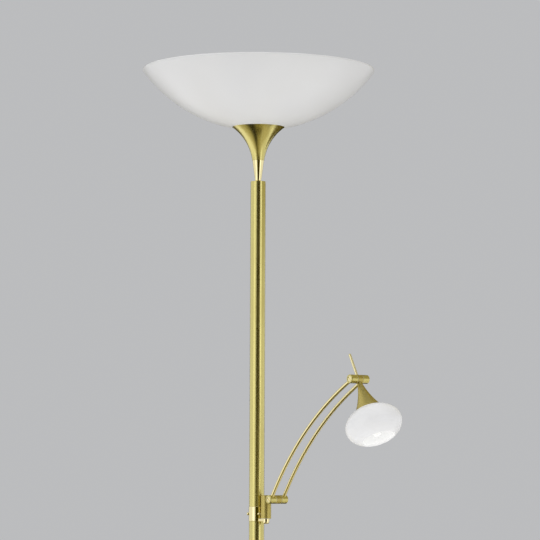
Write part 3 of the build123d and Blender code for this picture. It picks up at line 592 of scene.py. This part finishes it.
# ---------------------------------------------------------------- cone
# A slim cone of solid brass, polished to a mirror, plugs into the pole's top and takes the threaded
# tube that holds the cup.
CONE_BORE_R = 2.4
CONE_SPIGOT_R = 4.0
CONE_FOOT_R = 4.9
CONE_EDGE = 0.2
SPIGOT_EDGE = 0.3
TUBE_R = 5.0
cone_low, cone_high = span("stem_cone")
cone_foot = span("pole_upper")[1].z
tube_foot = span("bowl_tube")[0].z
cone_outline = rounded(
    (CONE_BORE_R, cone_low.z),
    (CONE_SPIGOT_R, cone_low.z, SPIGOT_EDGE),
    (CONE_SPIGOT_R, cone_foot),
    (CONE_FOOT_R, cone_foot, CONE_EDGE),
    (cone_high.x, cone_high.z, CONE_EDGE),
    (TUBE_R, cone_high.z),
    (TUBE_R, tube_foot),
    (CONE_BORE_R, tube_foot),
)
seat(lathe("cone", cone_outline), polished_upright, "root", "polished_brass", "stem_cone")

# ---------------------------------------------------------------- flared cup
# A trumpet-shaped cup, spun from brass sheet and brushed round, stands on the cone. Its rim closes
# against the bowl's underside.
CUP_WALL = 1.2
CUP_FLOOR = 1.5
CUP_FOOT_R = 10.0
CUP_WAIST = (23.2, 34.9)
GLASS_BALL_R = 240.0
GLASS_HOLE_R = 6.0
LIP_GAP = 0.05


def flare_outline(foot, waist, rim, wall, floor, bore, roof):
    """Trumpet of sheet with a floor at its foot, whose inner side stops under a curved roof."""
    outer = bow(foot, waist, rim, steps=40)
    inner = []
    for before, here, after in zip(outer, outer[1:], outer[2:]):
        run = (after - before).normalized()
        inner.append(here + Vector((-run.y, run.x)) * wall)
    floor_top = foot[1] + floor
    fitted = [p for p in inner if floor_top < p.y < roof(p.x) - LIP_GAP]
    floor_corner = Vector((fitted[0].x, floor_top))
    return [*outer, *reversed(fitted), floor_corner, Vector((bore, floor_top)), Vector((bore, foot[1]))]


glass_low, glass_high = span("bowl_glass")
ball_z = glass_low.z + math.sqrt(GLASS_BALL_R**2 - GLASS_HOLE_R**2)
cup_low, cup_high = span("bowl_cup")


def ball_under(radius):
    """Height of the bowl's outer side at a distance from the axis."""
    return ball_z - math.sqrt(GLASS_BALL_R**2 - radius**2)


cup_outline = flare_outline(
    (CUP_FOOT_R, cup_low.z),
    (CUP_WAIST[0], cup_low.z + CUP_WAIST[1]),
    (cup_high.x, ball_under(cup_high.x)),
    wall=CUP_WALL,
    floor=CUP_FLOOR,
    bore=TUBE_R,
    roof=ball_under,
)
seat(lathe("flared_cup", cup_outline, around=160), brushed_upright, "root", "brushed_brass", "bowl_cup")

# ---------------------------------------------------------------- bowl
# The bowl is white opal glass, blown into a mould and 4.5 mm thick, with a satin skin and a
# fire-polished rim. Discs and silicone gaskets clamp it on the threaded tube.
OPAL = (0.85, 0.85, 0.845)
OPAL_CLOUD = (0.865, 0.865, 0.86)
OPAL_ROUGHNESS = (0.32, 0.4)
OPAL_SKIN = {
    "IOR": 1.5,
    "Subsurface Weight": 0.12,
    "Subsurface Scale": 0.01,
    "Subsurface Radius": (1.0, 1.0, 0.95),
}
RIPPLES = 2.5
RIPPLE_DEPTH = 0.0003
RIPPLE_STRENGTH = 0.05
BOWL_CLOUDS = 7.0
GLASS_WALL = 4.5


def opal(name, clouds, sockets=None):
    """White glass: light sinks in and comes out soft; faint clouds, and a ripple from the mould."""
    made, tree, shader = new_material(name, {**OPAL_SKIN, **(sockets or {})})
    where = add(tree, "ShaderNodeTexCoord")
    vary(tree, shader, handled(tree, where, clouds), (OPAL, OPAL_CLOUD), OPAL_ROUGHNESS)
    ripple = noise(tree, where.outputs["Object"], RIPPLES * clouds, Detail=1.0)
    emboss(tree, shader, ripple, RIPPLE_DEPTH, RIPPLE_STRENGTH)
    return made, tree, shader, where


def ball_arc(radius, start, stop, steps=60):
    """Arc about the middle of the ball that the bowl is a part of, between two angles from below."""
    turns = [start + (stop - start) * k / steps for k in range(steps + 1)]
    return [Vector((radius * math.sin(t), ball_z - radius * math.cos(t))) for t in turns]


inner_r = GLASS_BALL_R - GLASS_WALL
mid_r = GLASS_BALL_R - GLASS_WALL / 2
rim_turn = math.asin((glass_high.x - GLASS_WALL / 2) / mid_r)
outer = ball_arc(GLASS_BALL_R, math.asin(GLASS_HOLE_R / GLASS_BALL_R), rim_turn)
inner = ball_arc(inner_r, rim_turn, math.asin(GLASS_HOLE_R / inner_r))
rim_middle = Vector((math.sin(rim_turn), -math.cos(rim_turn))) * mid_r + Vector((0, ball_z))
crest = rim_middle + Vector((math.cos(rim_turn), math.sin(rim_turn))) * GLASS_WALL / 2
bowl_outline = [*outer, *bow(outer[-1], crest, inner[0], steps=14)[1:-1], *inner]
opal_bowl = opal("opal_glass_bowl", BOWL_CLOUDS)[0]
seat(lathe("glass_bowl", bowl_outline, around=192), opal_bowl, "root", "opal_glass", "bowl_glass")

SILICONE = ((0.82, 0.80, 0.75), (0.87, 0.86, 0.82))
silicone = grained("silicone", SILICONE, scale=300.0, roughness=(0.4, 0.55), depth=0.0001)
dress(silicone, "bowl_gaskets", "reading_gasket", "arm_leads")
dress(zinc, "bowl_seat", "bowl_disc")

# ---------------------------------------------------------------- lamp unit
# A zinc-plated bracket in the bowl holds two ceramic sockets, over it lies a bright rolled
# aluminium trough, and a clear guard pane is held on its flanges by two spring clips.
STEATITE = ((0.80, 0.78, 0.72), (0.88, 0.86, 0.81))
ALUMINIUM = ((0.80, 0.81, 0.82), (0.9, 0.91, 0.92))
ROLLED = (1.0, 0.02, 1.0)
CLEAR = {"Transmission Weight": 1.0, "IOR": 1.47, "Base Color": (0.98, 1.0, 1.0, 1.0)}
CLEAR_ROUGHNESS = (0.0, 0.04)
CLEAR_MARKS = 30.0
ceramic = grained("steatite", STEATITE, scale=600.0, roughness=(0.5, 0.7), depth=0.0001)
aluminium = grained(
    "rolled_aluminium",
    ALUMINIUM,
    scale=700.0,
    roughness=(0.12, 0.24),
    depth=0.00003,
    stretch=ROLLED,
    sockets=METAL,
)
clear_glass, tree, shader = new_material("clear_glass", CLEAR)
marks = handled(tree, add(tree, "ShaderNodeTexCoord"), CLEAR_MARKS)
tree.links.new(between(tree, marks, *CLEAR_ROUGHNESS), shader.inputs["Roughness"])
dress(zinc, "lamp_bracket", "guard_clips")
dress(ceramic, "lamp_sockets", "lamp_ends", "reading_socket")
dress(aluminium, "reflector")
dress(clear_glass, "guard_pane")

# ---------------------------------------------------------------- halogen lamp
# A linear lamp 118 mm long lies in the sockets: a tube of quartz glass 10 mm across with rounded
# ends, and a coiled tungsten filament on its axis with a straight leg to each end.
QUARTZ_WALL = 1.1
QUARTZ_ROUND = 1.8
FILAMENT_R = 0.9
FILAMENT_WIRE = 0.16
FILAMENT_HALF = 40.0
FILAMENT_PITCH = 0.8
LEG_R = 0.3
LEG_LAP = 1.0
TUNGSTEN = ((0.22, 0.21, 0.2), (0.32, 0.31, 0.3))
tungsten = grained("tungsten", TUNGSTEN, scale=900.0, roughness=(0.35, 0.5), depth=0.00002, sockets=METAL)
tube_low, tube_high = span("halogen_tube")
tube_r = tube_high.x
tube_z = (tube_low.z + tube_high.z) / 2
lying = Matrix.Translation((0, 0, tube_z)) @ Matrix.Rotation(-math.pi / 2, 4, "X")
quartz_r = tube_r - QUARTZ_WALL
quartz_end = tube_high.y - 2 * QUARTZ_WALL
quartz_outline = rounded(
    (0.0, tube_low.y),
    (tube_r, tube_low.y, QUARTZ_ROUND),
    (tube_r, tube_high.y, QUARTZ_ROUND),
    (0.0, tube_high.y),
    (0.0, quartz_end),
    (quartz_r, quartz_end, QUARTZ_ROUND),
    (quartz_r, -quartz_end, QUARTZ_ROUND),
    (0.0, -quartz_end),
)
quartz_tube = lathe("quartz_tube", quartz_outline, around=64, place=lying)
seat(quartz_tube, clear_glass, "root", "clear_glass", "halogen_tube")
filament = grow(
    "filament_coil",
    COIL,
    tungsten,
    Foot=(0, -FILAMENT_HALF * MM, tube_z * MM),
    Turn=(-math.pi / 2, 0, 0),
    Radius=FILAMENT_R * MM,
    Wire=FILAMENT_WIRE * MM,
    Turns=2 * FILAMENT_HALF / FILAMENT_PITCH,
    Length=2 * FILAMENT_HALF * MM,
)
legs = []
for side in (-1, 1):
    ends = sorted((side * (FILAMENT_HALF - LEG_LAP), side * quartz_end))
    leg_outline = rounded((0.0, ends[0]), (LEG_R, ends[0]), (LEG_R, ends[1]), (0.0, ends[1]))
    legs.append(lathe("filament_leg", leg_outline, around=10, place=lying))
seat(join("lamp_filament", filament, *legs), tungsten, "root", "zinc_steel")

# ---------------------------------------------------------------- swivel
# A polished tab with a round boss stands out of the collar. The brushed upright post turns on a
# steel spindle in it, over a nylon washer, and carries the arm's lower hinge on a lug.
NYLON = ((0.74, 0.73, 0.66), (0.8, 0.79, 0.73))
nylon = grained("nylon", NYLON, scale=300.0, roughness=(0.4, 0.55), depth=0.0001)
swivel_x = (span("swivel_post")[0].x + span("swivel_post")[1].x) / 2
at_swivel = (swivel_x * MM, 0, 0)
dress(polished("polished_brass_tab", at_swivel), "swivel_bracket")
dress(zinc, "swivel_spindle")
dress(nylon, "swivel_washer", "hinge_washers")
dress(satin("satin_brass_post", at_swivel), "swivel_post", "post_cap")

# ---------------------------------------------------------------- hinges
# Each hinge is a cylinder of 14 mm brass in three short lengths on a slotted axle with a round
# nut. The middle one belongs to the lug or to the head, the outer two are pinned to the rods.
FACING_Y = (-math.pi / 2, 0, 0)
hinges = {}
for height, middle in (("lower", "hinge_lug"), ("upper", "head_knuckle")):
    low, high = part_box(height + "_barrel_near")
    hinges[height] = Vector(((low.x + high.x) / 2, 0, (low.z + high.z) / 2))
    at_hinge = tuple(hinges[height])
    dress(satin("satin_brass_" + middle, at_hinge, FACING_Y), middle)
    finish = brushed("brushed_brass_hinge_" + height, at_hinge, FACING_Y)
    dress(finish, height + "_barrel_near", height + "_barrel_far")
axle_brass = buffed("polished_brass_axles", scale=60.0, roughness=(0.1, 0.16), depth=0.00001)
dress(axle_brass, "hinge_axles", "hinge_nuts")

# ---------------------------------------------------------------- rods
# Two rods of 5.6 mm polished brass tube, bent to one arc, run side by side from hinge to hinge.
# The leads of the reading light run inside them.
ROD_BEND_R = 503.0
ROD_GAP = 3.6
ROD_STEPS = 96
ROD_SIDES = 40

BENT_ROD, given, close = new_tree(
    "bent_rod", Vector=("Centre", "Turn"), Float=("Bend", "Start", "Sweep", "Radius")
)
bend = {
    "Resolution": ROD_STEPS,
    "Radius": given["Bend"],
    "Start Angle": given["Start"],
    "Sweep Angle": given["Sweep"],
}
arc = add(BENT_ROD, "GeometryNodeCurveArc", bend, mode="RADIUS").outputs[0]
close(round_bar(BENT_ROD, arc, given["Radius"], ROD_SIDES, given["Centre"], given["Turn"]))

rod_brass = buffed("polished_brass_rods", scale=80.0, roughness=(0.04, 0.07), depth=0.000002)
lower, upper = hinges["lower"] / MM, hinges["upper"] / MM
chord = upper - lower
depth = math.sqrt(ROD_BEND_R**2 - (chord.length / 2) ** 2)
bend_centre = (lower + upper) / 2 + Vector((chord.z, 0, -chord.x)).normalized() * depth
start, stop = [math.atan2(end.z - bend_centre.z, end.x - bend_centre.x) for end in (lower, upper)]
trim = math.copysign(ROD_GAP / ROD_BEND_R, stop - start)
for side in ("near", "far"):
    low, high = span("rod_" + side)
    middle_y = (low.y + high.y) / 2
    rod = grow(
        "bent_rod_" + side,
        BENT_ROD,
        rod_brass,
        Centre=Vector((bend_centre.x, middle_y, bend_centre.z)) * MM,
        Turn=(math.pi / 2, 0, 0),
        Bend=ROD_BEND_R * MM,
        Start=start + trim,
        Sweep=stop - start - 2 * trim,
        Radius=(high.y - low.y) / 2 * MM,
    )
    seat(rod, rod_brass, "arm", "polished_brass", "rod_" + side)

# ---------------------------------------------------------------- reading head's metal
# A thin stick handle stands on the upper hinge for tilting the head. On its other side a small
# cup, spun and brushed like the large one, hangs on a short tube that carries glass and lamp.
HEAD_TILT = math.radians(27.0)
HEAD_CUP_FOOT = (3.7, 7.2)
HEAD_CUP_WAIST = (11.1, 33.0)
HEAD_CUP_RIM_R = 21.6
HEAD_CUP_WALL = 0.7
SHADE_CENTRE = 81.7
SHADE_R = 46.2
SHADE_HALF_H = 31.1
head_turn = (0, math.pi - HEAD_TILT, 0)
head_place = Matrix.Translation(upper) @ Matrix.Rotation(math.pi - HEAD_TILT, 4, "Y")


def shade_top(radius):
    """Height of the shade's upper side, from the upper hinge along the head."""
    return SHADE_CENTRE - SHADE_HALF_H * math.sqrt(1 - (radius / SHADE_R) ** 2)


head_cup_outline = flare_outline(
    HEAD_CUP_FOOT,
    HEAD_CUP_WAIST,
    (HEAD_CUP_RIM_R, shade_top(HEAD_CUP_RIM_R)),
    wall=HEAD_CUP_WALL,
    floor=0.0,
    bore=HEAD_CUP_FOOT[0] - HEAD_CUP_WALL,
    roof=shade_top,
)
brushed_head = satin("satin_brass_head", tuple(hinges["upper"]), head_turn)
head_cup = lathe("small_flared_cup", head_cup_outline, place=head_place)
seat(head_cup, brushed_head, "head", "brushed_brass", "reading_cup")
dress(axle_brass, "tilt_handle", "head_tube")
dress(zinc, "reading_nut")

# ---------------------------------------------------------------- reading glass
# The shade is a flattened ball of the same opal glass, 3 mm thick, cut open below and ground on
# the cut. A painted glow, in place of the lamp's light through the glass, makes it brighter than
# the bowl, most of all on its inner side.
SHADE_WALL = 3.0
SHADE_HOLE_R = 8.0
SHADE_MOUTH_R = 26.5
SHADE_EDGE = 0.8
SHADE_CLOUDS = 22.0
# Painted glow of the shade's glass, on its outer side and on its inner side.
SHADE_PAINTED_GLOW = (0.1, 0.1, 0.105)
SHADE_PAINTED_GLOW_INSIDE = (0.22, 0.22, 0.22)
DEEP_IN_WALL = 0.9
NEAR_OUTSIDE = 0.1


def shade_arc(inset, steps=56):
    """Section of the flattened ball, inset by a wall, from the hole above to the mouth below."""
    rx, rz = SHADE_R - inset, SHADE_HALF_H - inset
    first, last = math.asin(SHADE_HOLE_R / rx), math.pi - math.asin(SHADE_MOUTH_R / rx)
    turns = [first + (last - first) * k / steps for k in range(steps + 1)]
    return [Vector((rx * math.sin(t), SHADE_CENTRE - rz * math.cos(t))) for t in turns]


outside = shade_arc(0)
inside = list(reversed(shade_arc(SHADE_WALL)))
mouth = [(*outside[-1], SHADE_EDGE), (*inside[0], SHADE_EDGE)]
shade_outline = rounded(*[tuple(p) for p in outside[:-1]], *mouth, *[tuple(p) for p in inside[1:]])
opal_shade, tree, shader, where = opal("opal_glass_shade", SHADE_CLOUDS, {"Emission Strength": 1.0})
shade_middle = hinges["upper"] + Vector((math.sin(HEAD_TILT), 0, -math.cos(HEAD_TILT))) * SHADE_CENTRE * MM
own = {
    "Vector": where.outputs["Object"],
    "Location": shade_middle,
    "Rotation": head_turn,
    "Scale": Vector((SHADE_R, SHADE_R, SHADE_HALF_H)) * MM,
}
ball = add(tree, "ShaderNodeMapping", own, vector_type="TEXTURE").outputs["Vector"]
wall = SHADE_WALL / SHADE_R
outwards = spread(tree, how_far(tree, ball), 1 - DEEP_IN_WALL * wall, 1 - NEAR_OUTSIDE * wall)
# Painted glow, brighter towards the inner side of the wall.
tree.links.new(blend(tree, outwards, SHADE_PAINTED_GLOW_INSIDE, SHADE_PAINTED_GLOW), shader.inputs["Emission Color"])
opal_shade.cycles.emission_sampling = "NONE"
shade = lathe("reading_shade", shade_outline, place=head_place)
seat(shade, opal_shade, "head", "opal_glass", "reading_glass")

# ---------------------------------------------------------------- capsule lamp
# A two-pin halogen capsule stands in the ceramic socket. Its quartz glass is frosted, and it is
# lit, as in the photograph, so it looks evenly white against the shade's inner side.
FROSTED = ((0.8, 0.8, 0.78), (0.86, 0.86, 0.84))
CAPSULE_LIGHT = (0.3, 0.3, 0.29)


def glowing(colour):
    """Sockets of a material that has one plain brightness by itself."""
    return {"Emission Color": (*colour, 1.0), "Emission Strength": 1.0}


lit = glowing(CAPSULE_LIGHT)
capsule = grained("frosted_capsule", FROSTED, scale=500.0, roughness=(0.3, 0.45), depth=0.00002, sockets=lit)
capsule.cycles.emission_sampling = "NONE"
dress(capsule, "reading_bulb")

# ---------------------------------------------------------------- studio
# A pale round floor fades into pale surroundings. Five soft lamps stand at both sides, above and at
# the floor; the highest and the lowest don't show in metal. Cards on the floor and upright flags,
# which only metal sees, give the brass its dark and bright bands.
PALE = (0.50, 0.505, 0.515)
PALE_IN_METAL = (0.88, 0.87, 0.86)
SURROUND = (0.44, 0.44, 0.445)
FLOOR_R = 7.0
FLOOR_CLEAR_R = 3.0
FLOOR_WHITE = (0.9, 0.9, 0.91)
FLOOR_SEEN = (0.3, 0.3, 0.305)
FLOOR_LIFT = 0.7
FLOOR_ROUGHNESS = 0.8
WALL_AT = 5.2
WALL_H = 5.0
FRONT_WALL_H = 6.6
CARD_Z = 0.012
UNLIT = {"Base Color": (0, 0, 0, 1), "Specular IOR Level": 0.0}
LAMP_BACK_GAP = 0.01
SIDE_LAMP_AT = 3.2
SIDE_LAMP_Z = 1.5
VIEW_AZIMUTH = math.radians(50.0)
TO_CAMERA = Vector((math.sin(VIEW_AZIMUTH), -math.cos(VIEW_AZIMUTH), 0))
RIGHT = Vector((math.cos(VIEW_AZIMUTH), math.sin(VIEW_AZIMUTH), 0))


def light_path(tree):
    """Light path's outputs, and a mask of what the camera sees, straight or through clear glass."""
    path = add(tree, "ShaderNodeLightPath").outputs
    return path, combine(tree, "MAXIMUM", path["Is Camera Ray"], path["Is Transmission Ray"])


world = bpy.data.worlds.new("studio")
world.use_nodes = True
tree = world.node_tree
path, direct = light_path(tree)
unmirrored = blend(tree, direct, SURROUND, PALE)
surroundings = blend(tree, path["Is Glossy Ray"], unmirrored, PALE_IN_METAL)
tree.links.new(surroundings, tree.nodes["Background"].inputs["Color"])
bpy.context.scene.world = world


def around_pole(angle, distance, height):
    """Place seen from the pole at an angle to the right of the camera, in degrees."""
    turn = math.radians(angle)
    return TO_CAMERA * distance * math.cos(turn) + RIGHT * distance * math.sin(turn) + Vector((0, 0, height))


def wall_card(name, colour, left, right, *rows, steps=24):
    """Curved card between two angles, through rows of (distance, height)."""
    turns = [left + (right - left) * k / steps for k in range(steps + 1)]
    bm = bmesh.new()
    laid = [[bm.verts.new(around_pole(turn, *row) / MM) for turn in turns] for row in rows]
    for low, high in zip(laid, laid[1:]):
        for k in range(steps):
            bm.faces.new((low[k], low[k + 1], high[k + 1], high[k]))
    show_card(name, colour, bm)


def floor_card(name, colour, *corners, height=CARD_Z):
    """Card on the floor, whose corners are (metres towards the camera, metres to its right)."""
    bm = bmesh.new()
    places = [TO_CAMERA * u + RIGHT * v + Vector((0, 0, height)) for u, v in corners]
    bm.faces.new([bm.verts.new(place / MM) for place in places])
    show_card(name, colour, bm)


def show_card(name, colour, bm):
    """Finishes a card in one plain brightness that it has by itself."""
    made = new_material(name, {**UNLIT, "Roughness": 1.0, **glowing(colour)})[0]
    made.cycles.emission_sampling = "NONE"
    show_in_metal(new_piece(name, bm), made)


def show_in_metal(piece, material):
    """Stage piece that neither the camera nor the light on the lamp takes notice of."""
    piece.data.materials.append(material)
    piece.visible_camera = False
    piece.visible_diffuse = False
    piece.visible_transmission = False
    piece.visible_shadow = False


def soft_lamp(name, place, aim_z, width, height, brightness):
    """Area lamp as bright as a white card times brightness, aimed at a height on the pole's axis."""
    data = bpy.data.lights.new(name, "AREA")
    data.shape = "RECTANGLE"
    data.size, data.size_y = width, height
    data.energy = brightness * width * height * math.pi
    lamp = bpy.data.objects.new(name, data)
    lamp.location = place
    lamp.rotation_euler = (Vector((0, 0, aim_z)) - place).to_track_quat("-Z", "Y").to_euler()
    bpy.context.scene.collection.objects.link(lamp)
    return lamp


def black_back(lamp):
    """Card behind a soft lamp, so that metal sees its back as dark."""
    bm = bmesh.new()
    half = Vector((lamp.data.size, lamp.data.size_y)) / 2
    for x, y in ((-1, -1), (1, -1), (1, 1), (-1, 1)):
        bm.verts.new(Vector((x * half.x, y * half.y, LAMP_BACK_GAP)) / MM)
    bm.faces.new(bm.verts)
    place = Matrix.Scale(1 / MM, 4) @ lamp.matrix_basis @ Matrix.Scale(MM, 4)
    show_in_metal(new_piece(lamp.name + "_back", bm, place), black)


black = new_material("studio_black", UNLIT)[0]
at_left, at_right = [around_pole(turn, SIDE_LAMP_AT, SIDE_LAMP_Z) for turn in (-50, 50)]
left = soft_lamp("left_soft_lamp", at_left, aim_z=SIDE_LAMP_Z, width=1.3, height=2.9, brightness=1.4)
right = soft_lamp("right_soft_lamp", at_right, aim_z=SIDE_LAMP_Z, width=0.9, height=2.9, brightness=1.6)
top = soft_lamp("top_soft_lamp", Vector((0.3, -0.5, 4.2)), aim_z=1.0, width=2.6, height=2.6, brightness=0.4)
sky = soft_lamp("sky_soft_lamp", Vector((0.3, -0.5, 4.3)), aim_z=1.0, width=3.4, height=3.4, brightness=0.8)
lowest = soft_lamp("low_soft_lamp", Vector((0, 0, 0.02)), aim_z=1.0, width=3.2, height=3.2, brightness=0.5)
for lamp in (left, right, top, lowest):
    black_back(lamp)
for lamp in (sky, lowest):
    lamp.visible_glossy = False
    lamp.visible_camera = False

OLIVE = (0.04, 0.034, 0.002)
BROWN = (0.05, 0.034, 0.001)
EARTH = (0.13, 0.10, 0.012)
GOLDEN = (0.42, 0.37, 0.18)
WARM = (0.62, 0.56, 0.38)
LIT = (0.86, 0.83, 0.72)
BRIGHT = (1.2, 1.18, 1.15)
FAN_AT = -6.0
SIDE_EDGE = 9.0
LEFT_BACK = -3.5
RIGHT_BACK = -0.5
RIGHT_LIT_FROM = 1.6
UNDER_ARM_Z = 0.016


def fan(name, colour, left, right):
    """Sector of the floor between two angles from a point far behind the lamp."""
    reach = WALL_AT - FAN_AT
    left_v, right_v = [reach * math.tan(math.radians(turn)) for turn in (left, right)]
    floor_card(name, colour, (FAN_AT, 0.0), (WALL_AT, left_v), (WALL_AT, right_v))


def floor_strip(name, colour, back, front, edge):
    """Card on the floor from two corners, given from back to front, out to an edge at one side."""
    floor_card(name, colour, back, front, (front[0], edge), (back[0], edge))


wall_card("dark_floor", EARTH, -180, 180, (0.0, CARD_Z / 2), (WALL_AT, CARD_Z / 2))
floor_strip("floor_left", BRIGHT, (LEFT_BACK, -0.76), (WALL_AT, -3.42), -SIDE_EDGE)
fan("floor_left_lit", WARM, -17, -11)
fan("floor_left_golden", GOLDEN, -11, -7.5)
fan("floor_middle_golden", GOLDEN, -2, 3.5)
floor_strip("floor_right_warm", WARM, (RIGHT_BACK, 0.34), (WALL_AT, 0.69), RIGHT_LIT_FROM)
floor_strip("floor_right_lit", LIT, (RIGHT_BACK, RIGHT_LIT_FROM), (WALL_AT, RIGHT_LIT_FROM), SIDE_EDGE)
floor_strip("floor_right_bright", BRIGHT, (-1.15, 0.8), (RIGHT_BACK, 0.8), SIDE_EDGE)
under_arm = ((0.06, 0.34), (0.6, 0.42), (0.66, -0.32), (0.16, -0.26))
floor_card("floor_under_arm", BROWN, *under_arm, height=UNDER_ARM_Z)
wall_card("olive_flag", OLIVE, -20, 10, (WALL_AT, 0.0), (WALL_AT, FRONT_WALL_H))
wall_card("brown_flag", BROWN, 10, 34, (WALL_AT, 0.0), (WALL_AT, FRONT_WALL_H))
wall_card("right_high_wall", GOLDEN, 60, 165, (WALL_AT, 2.2), (WALL_AT, WALL_H), (1.5, WALL_H))
wall_card("flag_behind", OLIVE, 150, 210, (WALL_AT, 0.0), (WALL_AT, WALL_H))

floor_paint = {"Roughness": FLOOR_ROUGHNESS, "Emission Color": (*PALE, 1.0)}
floor_material, tree, shader = new_material("studio_floor", floor_paint)
direct = light_path(tree)[1]
tree.links.new(combine(tree, "MULTIPLY", direct, FLOOR_LIFT), shader.inputs["Emission Strength"])
tree.links.new(blend(tree, direct, FLOOR_WHITE, FLOOR_SEEN), shader.inputs["Base Color"])
floor_material.cycles.emission_sampling = "NONE"
reach = how_far(tree, add(tree, "ShaderNodeTexCoord").outputs["Object"])
fade = spread(tree, reach, FLOOR_CLEAR_R, FLOOR_R, interpolation_type="SMOOTHSTEP")
under = add(tree, "ShaderNodeNewGeometry").outputs["Backfacing"]
gone = combine(tree, "MAXIMUM", fade, under)
nothing = add(tree, "ShaderNodeBsdfTransparent").outputs["BSDF"]
floor_mix = add(tree, "ShaderNodeMixShader", {0: gone, 1: shader.outputs["BSDF"], 2: nothing})
tree.links.new(floor_mix.outputs[0], tree.nodes["Material Output"].inputs["Surface"])
bm = bmesh.new()
bmesh.ops.create_circle(bm, cap_ends=True, radius=FLOOR_R / MM, segments=96)
floor = new_piece("studio_floor", bm)
if floor.data.polygons[0].normal.z < 0:
    floor.data.flip_normals()
floor.data.materials.append(floor_material)

# ---------------------------------------------------------------- camera
# The photograph's view: a long lens level with the switch collar, a little to the right of the
# pole, looking slightly up, and turned a quarter of a degree about its own axis.
CAMERA_DISTANCE = 4.648
CAMERA_HEIGHT = 1.1128
CAMERA_SIDE = 0.0204
CAMERA_PITCH = math.radians(4.38)
CAMERA_ROLL = math.radians(0.24)
CAMERA_LENS = 186.7
camera_data = bpy.data.cameras.new("camera")
camera_data.lens = CAMERA_LENS
camera = bpy.data.objects.new("camera", camera_data)
camera.location = TO_CAMERA * CAMERA_DISTANCE + RIGHT * CAMERA_SIDE + Vector((0, 0, CAMERA_HEIGHT))
aim = -TO_CAMERA * math.cos(CAMERA_PITCH) + Vector((0, 0, math.sin(CAMERA_PITCH)))
upright = aim.to_track_quat("-Z", "Y").to_matrix()
camera.rotation_euler = (upright @ Matrix.Rotation(CAMERA_ROLL, 3, "Z")).to_euler()
bpy.context.scene.collection.objects.link(camera)
bpy.context.scene.camera = camera
bpy.context.scene.view_settings.view_transform = "Standard"
